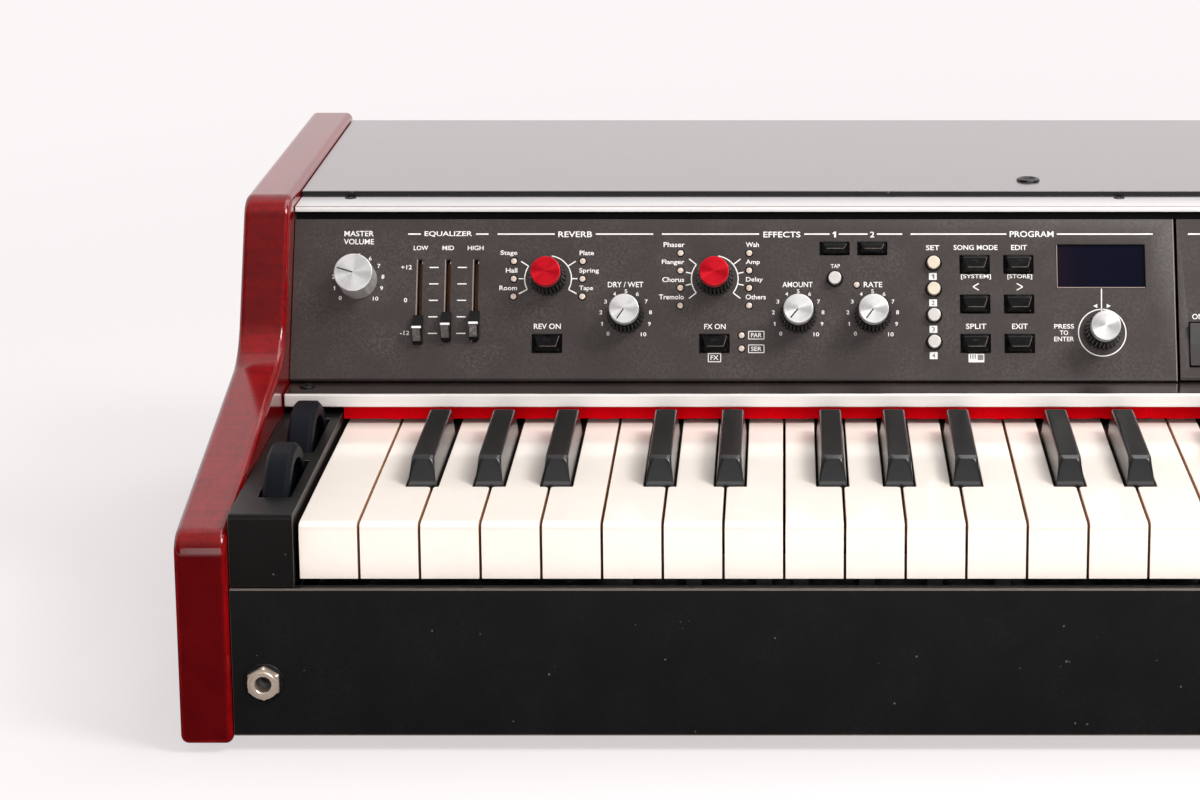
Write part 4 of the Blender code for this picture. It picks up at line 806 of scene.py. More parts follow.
def white_shape(note, played):
    """Rows (depth, left, right, bottom, top) of a white key, and its section at each row.

    The first rows end a little below the rounded lip, so that the front face lies 0.3 behind it.
    """
    left, right, stem_left, stem_right = key_sides(note)
    roll = np.radians([90, 76, 66.5, 66, 60, 45, 30, 15, 0])
    depth = 3.6 * (1 - np.sin(roll))
    top = -1.3 * (1 - np.cos(roll))
    soft = 0.5 * (1 - np.sqrt(1 - np.clip((0.5 - depth) / 0.5, 0, 1) ** 2))
    under = np.where(roll > LIP_ROLL, -1.9, SKIRT_BOTTOM)
    rows = np.stack([depth, left + soft, right - soft, under, top], -1)
    body = [(12, left, right, SKIRT_BOTTOM, 0), (16, left, right, BODY_BOTTOM, 0)]
    notch = 47.2
    for angle in np.radians([0, 25, 50, 75, 90]):
        shrink = 1.0 - np.cos(angle)
        cut_left = shrink if stem_left > left else 0.0
        cut_right = shrink if stem_right < right else 0.0
        body.append((notch - 1 + np.sin(angle), left + cut_left, right - cut_right, BODY_BOTTOM, 0))
    body.append((notch + 0.03, stem_left, stem_right, BODY_BOTTOM, 0))
    tail = tail_rows(played)
    ends = np.full(len(tail), 1.0)
    tail = np.stack([tail[:, 0], stem_left * ends, stem_right * ends, tail[:, 1], tail[:, 2]], -1)
    rows = np.concatenate([rows, body, tail])
    depth, low_x, high_x, bottom, top = rows.T[:, :, None]
    edge = np.minimum(0.5, (top - bottom) / 3)
    turn = np.linspace(0, np.pi / 2, 4)
    bend, drop = edge * (1 - np.cos(turn)), edge * (1 - np.sin(turn))
    x = np.concatenate([low_x, low_x + bend, (high_x - bend)[:, ::-1], high_x], axis=1)
    height = np.concatenate([bottom, top - drop, (top - drop)[:, ::-1], bottom], axis=1)
    return drawn(in_frame(x, depth, height))

# %% [markdown]
# ## A sharp
#
# A sharp's section tapers upwards. Its rounded corners grow where the slope in front meets the top, which
# draws an arch there, and behind the cap the key goes on as a plain low stem under the rail.

# %% Function for sharps
def sharp_shape(note, played):
    """Rows (depth, bottom, top, corner radius) of a sharp, and its tapering section at each row."""
    middle = sharp_middle(note)
    climb = np.linspace(0, 1, 7)
    slope = np.stack([48 + 3.9 * climb, np.full(7, BODY_BOTTOM), 0.4 + 9.9 * climb, 0.7 + 1.9 * climb ** 2], -1)
    turn = np.radians([25, 45, 65, 90])
    under = np.full(4, BODY_BOTTOM)
    brow = np.stack([51.6 + 2.4 * np.sin(turn), under, 10.1 + 1.2 * np.sin(turn), 2.6 - 1.2 * np.sin(turn)], -1)
    back = np.radians([0, 30, 60, 85])
    rear = np.stack([120.5 + 2.5 * np.sin(back), under, 8.8 + 2.5 * np.cos(back), np.full(4, 1.3)], -1)
    low = [(123.3, BODY_BOTTOM, -0.9, 0.2), (124.0, BODY_BOTTOM, -1.0, 0.2)]
    tail = tail_rows(played)
    tail = np.concatenate([tail, np.full((len(tail), 1), 0.2)], axis=1)
    rows = np.concatenate([slope, brow, [(58.0, BODY_BOTTOM, SHARP_HEIGHT, 1.2)], rear, low, tail])
    depth, bottom, top, radius = rows.T[:, :, None]

    def half(height):
        """Half the width at a height: it narrows evenly from 5.75 at the white tops to 4.6 at the top."""
        return 5.75 - 1.15 * np.clip(height / SHARP_HEIGHT, 0, 1)

    turn = np.linspace(0, np.pi / 2, 5)
    base = np.minimum(top - 0.1, 0.0)
    reach = half(top) - radius * (1 - np.cos(turn))
    height = top - radius * (1 - np.sin(turn))
    height = np.maximum(height, base)
    side_x = np.concatenate([-half(bottom), -half(base), -reach], axis=1)
    side_height = np.concatenate([bottom, base, height], axis=1)
    x = np.concatenate([side_x, -side_x[:, ::-1]], axis=1)
    level = np.concatenate([side_height, side_height[:, ::-1]], axis=1)
    return drawn(in_frame(middle + x, depth, level))

# %% [markdown]
# ## The stop hook
#
# A spring lifts a key from behind, and something has to hold it down at rest. Each played key carries a
# hook that reaches under the guide plate. Its outline in side view is drawn across 5 mm.

# %% Function for stop hooks
HOOK_HALF = 2.5


def hook_shape(note):
    """The stop hook below a played key."""
    left, right = (sharp_middle(note),) * 2 if note % 12 in SHARPS else key_sides(note)[2:]
    middle = (left + right) / 2
    outline = [(75, -13), (75, -38.6), (68, -38.6), (68, -41), (78, -41), (78, -13)]
    return strip(outline, (middle - HOOK_HALF, middle + HOOK_HALF))


# %% [markdown]
# ## One octave that plays
#
# Twelve keys ride on bodies of their own and can be pressed. The others are joined into one white and one
# black mesh that stay with the case, which is lighter than 61 objects and looks the same.

# %% The played octave and the other keys
fixed_whites, fixed_sharps = [], []
for note in NOTES:
    is_sharp = note % 12 in SHARPS
    shape = (sharp_shape if is_sharp else white_shape)(note, note in PLAYED)
    if note not in PLAYED:
        (fixed_sharps if is_sharp else fixed_whites).append(shape)
        continue
    name = f"key_{PLAYED[note]}"
    look, slot = (black_key, "black_key") if is_sharp else (white_key, "white_key")
    piece(f"{name}_cap", together([shape, hook_shape(note)]), look, name, name, smooth=28)
piece("white_keys", together(fixed_whites), white_key, smooth=28)
piece("sharp_keys", together(fixed_sharps), black_key, smooth=28)
print("keys that stay:", len(fixed_whites), "white,", len(fixed_sharps), "black")

# %% [markdown]
# ## Keybed
#
# Below the keys lies the steel that carries them: a guide plate with a post for each played key, beams on
# the floor of the case, and the rail with the round seat that the key barrels turn in.

# %% Keybed
def bar(x, depth, height):
    """A plain bar between (low, high) ranges."""
    (front, rear), (low, high) = depth, height
    return strip([(front, low), (rear, low), (rear, high), (front, high)], x)


guide = [(18, -50.3), (18, -36.3), (72, -36.3), (72, -38.3), (20, -38.3), (20, -50.3)]
beam = [(19, -82.7), (222, -82.7), (222, -18), (203, -18), (196, -44.3), (73, -44.3), (66, -37.3), (19, -37.3)]
seat_turn = np.radians(np.linspace(-90, 30, 10))
SEAT_RADIUS = PIVOT_RADIUS + FIT_GAP
seat = np.stack([np.cos(seat_turn), np.sin(seat_turn)], -1) * SEAT_RADIUS + (PIVOT_DEPTH, PIVOT_HEIGHT)
grooved = np.concatenate([[(224, 4), (224, -20), (202, -20), (202, -14.3)], seat, [(211.8, 4)]])
octave = (white_start(36), white_start(48))
KEYBED_HALF = 503
keybed_parts = [strip(guide, (-KEYBED_HALF, KEYBED_HALF)), strip(grooved, octave)]
keybed_parts += [strip(beam, (x - 1.5, x + 1.5)) for x in (-500, -200, 0, 200, 500)]
keybed_parts += [bar(x, (202, 224), (-20, 4)) for x in ((-KEYBED_HALF, octave[0]), (octave[1], KEYBED_HALF))]
for note in PLAYED:
    is_sharp = note % 12 in SHARPS
    middle = sharp_middle(note) if is_sharp else sum(key_sides(note)[2:]) / 2
    front, half = (58, 2) if is_sharp else (26, 3)
    keybed_parts.append(bar((middle - half, middle + half), (front, front + 6), (-37.3, -13.5)))
piece("keybed_frame", together(keybed_parts), zinc, node="keybed")
print("parts of the keybed:", len(keybed_parts))

# %% [markdown]
# ## Thumb wheels
#
# Two thick wheels stand out of the box beside the keys. Their rim has a chamfer on both edges, its sides
# are recessed down to a thin web, and one short flat on the rim lets the thumb find the middle.

# %% Wheels
WHEEL_X = -FIT_HALF + 14.45
WHEEL_HEIGHT = -8.2
WHEEL_RADIUS, FLAT_RADIUS = 26.7, 26.15
FLAT_ANGLE = math.radians(96)


def wheel_shape(depth):
    """Rings of radius and reach about the axle; the flat limits the radius to its own radius / cos(angle)."""
    profile = np.array([(3, 8.9), (3, 2), (19.5, 2), (20.4, 2.6), (20.4, 4.6), (20.9, 5.2), (24.9, 5.2),
                        (25.2, 5.1), (26.6, 3.8), (WHEEL_RADIUS, 3.5)])
    profile = np.concatenate([profile * (1, 1), (profile * (1, -1))[::-1]])
    angle = np.arange(144) / 144 * 2 * np.pi
    radius = np.repeat(profile[:, :1], 144, axis=1)
    shift = np.angle(np.exp(1j * (angle - FLAT_ANGLE)))
    limit = np.where(np.abs(shift) < 0.3, FLAT_RADIUS / np.cos(shift), 99)
    outer = profile[:, :1] > 21
    radius = np.where(outer, np.minimum(radius, limit - (WHEEL_RADIUS - profile[:, :1])), radius)
    place, height = depth + radius * np.cos(angle), WHEEL_HEIGHT + radius * np.sin(angle)
    return skin(across(place, height, WHEEL_X + profile[:, 1:]))


for name, depth in (("wheel_pitch", 44.0), ("wheel_mod", 105.0)):
    piece(f"{name}_rim", wheel_shape(depth), wheel_plastic, name, name, smooth=25)
print("points of a wheel:", len(wheel_shape(0.0).points))

# %% [markdown]
# ## The faced top of a knob
#
# The top of each cap was faced on a lathe. Its fine circular marks spread a highlight into a bow tie. The
# disc is a mesh of its own, a polar grid, so that it can carry a map that runs round it: u is the angle and
# v the radius. A flat circle from the Add menu has no such map.

# %% Function for faced tops
TOP_LEVEL, TOP_SINK = 17.78, 0.05


def spun_top(name, look, x, s, radius, body):
    """The faced disc of a cap: a polar grid that sinks a little towards its middle, mapped by its angle."""
    rows, count = 10, 64
    part = np.linspace(0.02, 1, rows)[:, None]
    angle = np.linspace(0, 2 * np.pi, count + 1)[None]
    out = TOP_LEVEL - TOP_SINK * (1 - part ** 2) + 0 * angle
    points = on_panel(x + radius * part * np.sin(angle), s + radius * part * np.cos(angle), out)
    index = np.arange(rows * (count + 1)).reshape(rows, count + 1)
    quads = np.stack([index[:-1, :-1], index[:-1, 1:], index[1:, 1:], index[1:, :-1]], -1).reshape(-1, 4)
    mesh = bpy.data.meshes.new(name)
    mesh.from_pydata(points.reshape(-1, 3).tolist(), [], quads[:, ::-1].tolist() + [index[0, :-1].tolist()])
    around, along = np.meshgrid(np.arange(count + 1) / count, part[:, 0])
    places = np.stack([around, along], -1).reshape(-1, 2)
    uv = mesh.uv_layers.new(name="turning")
    corner = np.zeros(len(mesh.loops), np.int32)
    mesh.loops.foreach_get("vertex_index", corner)
    uv.data.foreach_set("uv", places[corner].astype(np.float32).ravel())
    mesh.shade_smooth()
    mesh.materials.append(look)
    made = bpy.data.objects.new(name, mesh)
    scene.collection.objects.link(made)
    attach(made, body)
    made_pieces.append(made)
    return made

# %% [markdown]
# ## Metal faced on a lathe
#
# Anisotropy stretches a highlight along one direction. A Tangent node hands the shader the direction of the
# map, so that the stretch turns round the disc with the marks. The rings that differ a little in tone are a
# noise on the same map, squeezed along the radius.

# %% Metal faced on a lathe
def follow_turning(material, shader, amount):
    """Let the highlight spread across circular marks: tangent from the map that runs round the disc."""
    tangent = material.node_tree.nodes.new("ShaderNodeTangent")
    tangent.direction_type = "UV_MAP"
    tangent.uv_map = "turning"
    shader.inputs["Anisotropic"].default_value = amount
    shader.inputs["Anisotropic Rotation"].default_value = 0.25
    material.node_tree.links.new(tangent.outputs["Tangent"], shader.inputs["Tangent"])


def top_finish(name, colour, other, roughness):
    """Faced metal for the top discs: anisotropic, with rings that differ a little in tone."""
    material, shader = finish(name, colour, roughness, metallic=0.72)
    tree = material.node_tree
    map_node = tree.nodes.new("ShaderNodeUVMap")
    map_node.uv_map = "turning"
    mapping = tree.nodes.new("ShaderNodeMapping")
    mapping.inputs["Scale"].default_value = (0.6, 60, 1)
    tree.links.new(map_node.outputs["UV"], mapping.inputs["Vector"])
    rings = noise(tree, mapping.outputs["Vector"], 1.0, detail=3.0)
    vary_colour(material, ramp(tree, rings, 0.3, 0.7), colour, other)
    vary_roughness(material, rings, roughness - 0.06, roughness + 0.06)
    follow_turning(material, shader, 0.85)
    return material


spun_top_metal = top_finish("spun_top", tone(244, 244, 243), tone(224, 224, 223), 0.32)
spun_top_red = top_finish("spun_top_red", tone(222, 14, 36), tone(196, 8, 28), 0.34)
print("faced metals:", spun_top_metal.name, spun_top_red.name)

# %% [markdown]
# ## A knob from its profile
#
# Most knobs are a metal cap on a black ribbed skirt; the volume knob is metal all over. Cap and skirt are
# turned profiles. The skirt's ribs are drawn by the radius itself, as the absolute value of a cosine, which
# gives round ribs with narrow valleys. The pointer is a thin inlaid line.

# %% Function for knobs
VOLUME_TOP, CAP_TOP, POINTER_HALF = 7.9, 6.05, 0.28


def knob(name, x, s, kind, angle, body, node, slot="knob", foot=0.5):
    """A knob at rest: its metal part, its skirt from the foot upwards, its faced top and its pointer line."""
    metal, top = (red_metal, spun_top_red) if kind == "red" else (knob_metal, spun_top_metal)
    if kind == "volume":
        radius = VOLUME_TOP
        profile = [(radius, 0.5), (8.4, 0.8), (8.4, 2.0), (8.3, 17.0), (8.2, 17.5), (radius, 17.7)]
        piece(f"{name}_body", turned(profile, x, s, on_panel, 72), metal, body, node)
    else:
        radius = CAP_TOP
        profile = [(6.2, 12.9), (6.45, 13.2), (6.45, 17.2), (6.3, 17.55), (radius, 17.7)]
        piece(f"{name}_cap", turned(profile, x, s, on_panel, 64), metal, body, node)
        skirt = [(7.3, foot), (8.0, foot + 0.05), (8.15, foot + 0.5), (7.2, 11.9), (6.9, 12.6), (6.6, 13.0),
                 (6.0, 13.05)]
        ribbed = [0, 1, 1, 1, 1, 0, 0]
        piece(f"{name}_skirt", turned(skirt, x, s, on_panel, 208, 26, 1.0, ribbed), skirt_plastic, body)
    spun_top(f"{name}_top", top, x, s, radius, body)
    if angle is None:
        return
    turn = math.radians(angle)
    direction = np.array([math.sin(turn), math.cos(turn)])
    side = POINTER_HALF * np.array([math.cos(turn), -math.sin(turn)])
    near, far = 0.2 * direction, (radius - 0.7) * direction
    line = np.array([near - side, far - side, far + side, near + side]) + (x, s)
    piece(f"{name}_line", slab(line, 17.6, 17.83, on_panel, edge=0.01, steps=1), pointer_ink, body)


# %% [markdown]
# ## The knobs of the main panel
#
# Every knob rides on its own body, so it stands at rest in the pose of the photograph: the pointer of each
# dial at its angle, clockwise from straight up. The two red selectors have no pointer. The encoder at the
# right starts higher above the panel, because it can be pressed.

# %% The knobs of the main panel
KNOBS = [("volume", -503.0, 45.0, "volume", -73.4), ("reverb", -420.24, 45.7, "red", None),
         ("reverb_level", -386.2, 29.2, "plain", -146), ("effect", -347.57, 45.7, "red", None),
         ("effect_amount", -311.2, 29.2, "plain", -141), ("effect_rate", -278.81, 29.2, "plain", -143)]
ENCODER = (-179.2, 21.8)
DIALS = [(x, s) for _, x, s, kind, _ in KNOBS if kind != "red"]
SELECTORS = [(x, s) for _, x, s, kind, _ in KNOBS if kind == "red"]
for label, x, s, kind, angle in KNOBS:
    knob(f"knob_{label}", x, s, kind, angle, f"knob_{label}", f"knob_{label}")
knob("encoder", *ENCODER, "plain", None, "encoder_knob", "encoder_knob", foot=1.35)
print("knobs on the main panel:", len(KNOBS) + 1)

# %% [markdown]
# ## Buttons
#
# The rectangular buttons are glossy black wedges: the lower edge stands prouder, the sides taper, and some
# carry a small dark window for a lamp. A cube with a Bevel would have one radius everywhere. Rings of
# rounded rectangles, each with its own size, radius and tilt, give the crown that widens towards its top.

# %% Functions for rectangular buttons
CROWN_FLARE = 0.55


def wedge(x, s, width, height):
    """Rings of rounded rectangles from the flange to the crown; the crown's level falls towards its top."""
    rows = [(1.6, 1.6, 0.3, -3.1, 0, 0), (1.6, 1.6, 0.3, -2.3, 0, 0), (-0.8, -0.4, 1.5, -2.3, 0, 0),
            (-0.8, -0.4, 1.5, 0.6, 0, 0), (-1.0, -0.6, 1.5, 1.1, 0.1, 0.1), (-1.5, -1.1, 1.3, 1.5, 0.2, 0.15),
            (-3.2, -3.4, 0.6, 2.9, 1.0, 0.45), (-3.5, -3.7, 0.55, 3.0, 1.05, 0.45),
            (-3.9, -4.1, 0.5, 3.02, 1.05, 0.45), (-4.9, -5.1, 0.3, 3.02, 1.05, 0.45)]
    rings = []
    for wider, taller, radius, out, tilt, lift in rows:
        outline = box_outline(width + wider, max(height + taller, 0.8), radius, x, s + lift)
        level = out - tilt * np.clip((outline[:, 1] - s) / height + 0.5, 0, 1)
        flare = 1 + (CROWN_FLARE * (outline[:, 1] - s - lift) / height if lift > 0.2 else 0)
        rings.append(on_panel(x + (outline[:, 0] - x) * flare, outline[:, 1], level))
    return drawn(rings)


def rect_button(name, x, s, width, height, window):
    """A wedge-shaped button, with a lamp window near its top where it has one.

    The two lines of its crown are thin pale rods, a painted highlight along its bottom and right edges: an oval
    section carried from one corner to the next.
    """
    piece(f"{name}_cap", wedge(x, s, width, height), button_gloss, name, name, smooth=30)
    middle, reach = s + 0.45, (height - 3.6) / 2
    low, high = middle - reach, middle + reach
    flare = CROWN_FLARE * (high - low) / 2 / height
    half_low, half_high = (width - 3.5) / 2 * (1 - flare), (width - 3.5) / 2 * (1 + flare)
    edges = []
    corner = (x + half_low, low)
    for line in ([(x - half_low + 0.8, low), corner], [corner, (x + half_high, high)]):
        u, v = np.array(line).T[:, :, None]
        level = 3.1 - 1.05 * np.clip((v - s) / height + 0.5, 0, 1)
        turn = np.arange(6) / 6 * 2 * np.pi
        swell, rise = 0.16 * np.cos(turn), 0.12 * np.sin(turn)
        upright = abs(v[1] - v[0]) > abs(u[1] - u[0])
        edges.append(skin(on_panel(u + swell * upright, v + swell * ~upright, level + rise)))
    # Pale rods along the crown's bottom and right edges: a painted highlight.
    piece(f"{name}_edge", together(edges), button_highlight_line, name)
    if window:
        outline = box_outline(3.0, 1.2, 0.2, x, s + 1.3)
        level = 3.02 - 1.05 * np.clip((outline[:, 1] - s) / height + 0.5, 0, 1)
        rings = [on_panel(*outline.T, level - 1.0), on_panel(*outline.T, level)]
        piece(f"{name}_window", drawn(rings), button_window, name)

# %% [markdown]
# ## Round buttons
#
# The round buttons are pale caps that slide in a black collar. Both are turned profiles. The collar stays
# with the panel, so its profile is closed on itself into a ring and joined with the other collars.

# %% Function for round buttons
def round_button(name, x, s, look):
    """A pale cap that slides in a black collar fixed to the panel."""
    cap = [(3.8, -3.1), (3.8, -2.3), (2.75, -2.3), (2.8, 0), (2.8, 3.2), (2.65, 3.5), (2.3, 3.62)]
    piece(f"{name}_cap", turned(cap, x, s, on_panel, 40), look, name, name, smooth=40)
    collar = [(3.0, -0.3), (3.55, -0.02), (3.6, 0.0), (3.6, 1.0), (3.4, 1.3), (3.05, 1.3), (2.98, 1.2),
              (2.98, -0.3), (3.0, -0.3)]
    rings = turned(collar, x, s, on_panel, 40)
    return Shape(rings.points, rings.quads, [])


# %% [markdown]
# ## The buttons in their places
#
# All buttons sit in their openings with a thin gap, and ride on their own bodies. Their places are kept in
# one list, because each has a switch on the board behind the panel.

# %% The buttons
TALL_BUTTONS = [("reverb", -420.24, 17.1, True), ("effect", -347.57, 17.1, True), ("song", -234.2, 52.1, True),
                ("edit", -215.1, 52.1, True), ("back", -234.2, 34.5, False), ("next", -215.1, 34.5, False),
                ("split", -234.2, 17.1, True), ("exit", -215.1, 17.1, False)]
LOW_BUTTONS = [("effect_1", -295.26, 59.2), ("effect_2", -278.81, 59.2)]
ROUND_BUTTONS = [("tap", -295.26, 45.6, cap_silver), ("set_1", -252.2, 52.5, cap_warm),
                 ("set_2", -252.2, 40.9, cap_warm), ("set_3", -252.2, 29.3, cap_silver),
                 ("set_4", -252.2, 17.5, cap_silver)]
for name, x, s, window in TALL_BUTTONS:
    rect_button(f"button_{name}", x, s, 12.7, 8.0, window)
for name, x, s in LOW_BUTTONS:
    rect_button(f"button_{name}", x, s, 12.6, 5.6, False)
collars = [round_button(f"button_{name}", x, s, look) for name, x, s, look in ROUND_BUTTONS]
piece("button_collars", together(collars), skirt_plastic)
BUTTON_PLACES = [row[1:3] for row in TALL_BUTTONS + LOW_BUTTONS + ROUND_BUTTONS]
print("buttons:", len(BUTTON_PLACES))

# %% [markdown]
# ## Sliders
#
# Each slider is a small cap with a ridge across it: black above the ridge, greyer below, with a white line
# on the ridge. Its slot is lined with brown board, and a thin pale bar along its left side is a painted
# highlight.

# %% Sliders and their slots
def cap_part(x, s, rows, width=4.1):
    """A slider cap's side view as rows of (s, out), drawn across its width."""
    rows = np.array(rows, float)
    half, inset = width / 2, 0.12
    middle = rows.mean(0)
    rings = []
    for reach, part in ((-half, inset), (-half + inset, 0), (half - inset, 0), (half, inset)):
        v, out = (middle + (rows - middle) * (1 - part / 3)).T
        rings.append(on_panel(np.full(len(rows), x + reach), s + v, out))
    return drawn(rings)


SLOT_MIDDLE = 36.1
slot_parts, slot_highlight_parts, slot_mark_parts = [], [], []
for name, x, s in (("slider_low", -476.2, 22.7), ("slider_mid", -463.9, 24.1), ("slider_high", -451.7, 24.6)):
    upper = [(6.4, 0.5), (6.4, 2.6), (5.9, 3.0), (0.75, 8.2), (0.0, 8.35), (0.0, 0.5)]
    lower = [(-6.4, 0.5), (0.0, 0.5), (0.0, 8.35), (-0.75, 8.2), (-5.9, 3.0), (-6.4, 2.6)]
    ridge = [(-0.5, 7.6), (0.5, 7.6), (0.5, 8.4), (0.32, 8.55), (-0.32, 8.55), (-0.5, 8.4)]
    stem = slab(box_outline(1.6, 7.0, 0.2, x, s), -9.0, 0.6, on_panel, edge=0.1)
    piece(f"{name}_cap", together([cap_part(x, s, upper), stem]), slider_black, name, name)
    face = [(-0.75, 8.1), (-0.75, 8.28), (-5.2, 3.78), (-5.2, 3.6)]
    piece(f"{name}_back", cap_part(x, s, lower), slider_black, name)
    piece(f"{name}_face", cap_part(x - 0.2, s, face, 3.4), slider_face, name)
    piece(f"{name}_line", cap_part(x, s, ridge, 4.05), print_white, name)
    slot_parts.append(slab(box_outline(2.3, 36.6, 0.2, x, SLOT_MIDDLE), -9.8, -9.2, on_panel, edge=0.05))
    # A thin pale bar along the slot's left side: a painted highlight where light falls on the slot's wall.
    slot_highlight_outline = box_outline(0.45, 36.4, 0.05, x - 1.2, SLOT_MIDDLE)
    slot_highlight_parts.append(slab(slot_highlight_outline, -1.2, 0.06, on_panel, edge=0.04))
    # A small white mark near the top of each slot, just below the panel's face.
    slot_mark_parts.append(slab(box_outline(0.28, 1.0, 0.05, x + 1.0, 52.9), -1.6, -0.5, on_panel, edge=0.03))
piece("slot_lining", together(slot_parts), slot_brown)
piece("slot_highlights", together(slot_highlight_parts), painted_edge_tone)
piece("slot_white_marks", together(slot_mark_parts), print_white)
print("sliders:", len(slot_parts))

# %% [markdown]
# ## Printed words
#
# The white print is a coat of ink a few hundredths of a millimetre thick. A picture of it would blur close
# up. So each word is Blender text made a mesh, scaled to its width on the panel and laid on the slope.

# %% Functions for words
INK = 0.03


def word_mesh(words):
    """Points and faces of a flat word, lying in the plane with its middle at the origin and height 1."""
    curve = bpy.data.curves.new("word", "FONT")
    curve.body = words
    curve.size = 1.0
    curve.offset = 0.012
    curve.resolution_u = 3
    curve.fill_mode = "BOTH"
    curve.extrude = 0.01
    holder = bpy.data.objects.new("word", curve)
    scene.collection.objects.link(holder)
    mesh = bpy.data.meshes.new_from_object(holder.evaluated_get(bpy.context.evaluated_depsgraph_get()))
    points = np.zeros(len(mesh.vertices) * 3)
    mesh.vertices.foreach_get("co", points)
    points = points.reshape(-1, 3)
    faces = [list(polygon.vertices) for polygon in mesh.polygons]
    bpy.data.objects.remove(holder)
    bpy.data.curves.remove(curve)
    bpy.data.meshes.remove(mesh)
    return points, faces


def printed(words, x, s, width, height, level=0.0, lift=INK):
    """A word whose box has the given middle, width and cap height; a single 1 is drawn without feet."""
    if words == "1":
        outline = np.array([(-0.05, -0.5), (0.5, -0.5), (0.5, 0.5), (0.05, 0.5), (-0.5, 0.27), (-0.5, 0.06),
                            (-0.05, 0.2)])
        return slab(outline * (width, height) + (x, s), level, level + lift, on_panel, edge=0.002, steps=1)
    points, faces = word_mesh(words)
    low, high = points.min(0), points.max(0)
    flat = (points - (low + high) / 2) / np.maximum(high - low, 1e-9)
    out = level + lift * (flat[:, 2] + 0.5)
    return Shape(on_panel(x + flat[:, 0] * width, s + flat[:, 1] * height, out), np.zeros((0, 4), int), faces)

# %% [markdown]
# ## Printed lines
#
# Lines, strokes and rings are screen-printed like the words. A stroke is a thin slab between two points,
# and a ring is a small rectangle of ink carried along an arc.

# %% Functions for lines
def bar_print(x_low, x_high, s, thickness=0.62):
    """A straight printed line along the panel."""
    outline = box_outline(x_high - x_low, thickness, 0.05, (x_low + x_high) / 2, s, 1)
    return slab(outline, 0.0, INK, on_panel, edge=0.005, steps=1)


def stroke(start, end, thickness):
    """A straight printed stroke between two places of the panel."""
    start, end = np.array(start), np.array(end)
    along = (end - start) / np.linalg.norm(end - start)
    side = np.array([-along[1], along[0]]) * thickness / 2
    outline = np.array([start - side, end - side, end + side, start + side])
    return slab(outline, 0.0, INK, on_panel, edge=0.005, steps=1)


def arc_print(x, s, radius, start, end, count=48):
    """An arc 0.5 wide between two angles, clockwise from the top: a rectangle of ink carried round."""
    angle = np.radians(np.linspace(start, end, count))[:, None]
    reach = radius + 0.25 * np.array([-1, 1, 1, -1])[None]
    out = INK * np.array([0.0, 0.0, 1.0, 1.0])[None] + 0 * angle
    return drawn(on_panel(x + reach * np.sin(angle), s + reach * np.cos(angle), out))


# %% [markdown]
# ## The words
#
# Each row holds a word, the middle of its box on the panel, the box's width and its height. Only words that
# say what a control does are here, and the face is Blender's own plain one.

# %% Words of the main panel
WORDS = [
    ("MASTER", -503.2, 65.8, 12.9, 2.45), ("VOLUME", -503.2, 62.2, 13.2, 2.45),
    ("EQUALIZER", -464.2, 65.6, 20.8, 2.6), ("LOW", -476.0, 59.4, 6.3, 2.0), ("MID", -464.1, 59.4, 5.1, 2.0),
    ("HIGH", -452.1, 59.4, 6.9, 2.0), ("+12", -482.1, 50.8, 4.7, 1.9), ("0", -482.1, 36.2, 1.4, 1.9),
    ("-12", -482.1, 21.7, 4.0, 1.9), ("REVERB", -408.7, 65.5, 14.8, 2.6), ("Stage", -437.5, 57.0, 7.3, 2.6),
    ("Hall", -436.2, 49.4, 5.0, 2.1), ("Room", -437.5, 41.6, 7.7, 2.1), ("Plate", -403.5, 57.2, 6.3, 2.1),
    ("Spring", -402.4, 49.1, 8.6, 2.6), ("Tape", -403.6, 41.3, 6.0, 2.6), ("REV ON", -420.2, 24.6, 11.7, 2.4),
    ("DRY / WET", -386.4, 43.1, 15.5, 2.45), ("EFFECTS", -318.3, 65.4, 16.2, 2.6),
    ("1", -295.4, 65.4, 1.5, 2.6), ("2", -278.8, 65.4, 1.9, 2.6),
    ("Phaser", -365.4, 60.9, 9.2, 2.2), ("Flanger", -365.8, 52.9, 9.8, 2.6),
    ("Chorus", -365.7, 45.3, 9.5, 2.2), ("Tremolo", -366.4, 37.6, 10.8, 2.2), ("Wah", -331.2, 60.9, 5.7, 2.2),
    ("Amp", -331.0, 52.9, 6.1, 2.6), ("Delay", -330.3, 45.1, 7.3, 2.6), ("Others", -329.7, 37.6, 8.8, 2.2),
    ("FX ON", -347.4, 24.5, 9.3, 2.4), ("TAP", -295.0, 51.3, 4.0, 1.8), ("AMOUNT", -311.5, 43.1, 13.2, 2.4),
    ("RATE", -278.6, 43.1, 8.1, 2.4), ("PAR", -329.4, 20.7, 4.6, 1.9), ("SER", -329.4, 14.7, 4.6, 1.9),
    ("FX", -347.5, 10.8, 3.4, 2.0), ("PROGRAM", -209.1, 65.6, 19.2, 2.7), ("SET", -252.4, 59.5, 5.9, 2.25),
    ("SONG MODE", -233.7, 59.6, 19.2, 2.25), ("EDIT", -214.7, 59.6, 6.9, 2.25),
    ("[SYSTEM]", -233.7, 46.5, 13.1, 2.3), ("[STORE]", -214.6, 46.5, 10.8, 2.3),
    ("SPLIT", -233.9, 24.6, 8.9, 2.35), ("EXIT", -214.9, 24.6, 6.8, 2.35),
    ("PRESS", -195.7, 24.6, 8.6, 2.0), ("TO", -195.8, 21.8, 3.6, 2.0), ("ENTER", -195.8, 19.0, 8.6, 2.0),
]
ink = [printed(*row) for row in WORDS]
print("words:", len(WORDS))

# %% [markdown]
# ## Lines, arrows and the slider scale
#
# Thin lines tie each heading to its group, five short bars beside the sliders are their scale, and two
# arrow heads show which way the encoder turns.

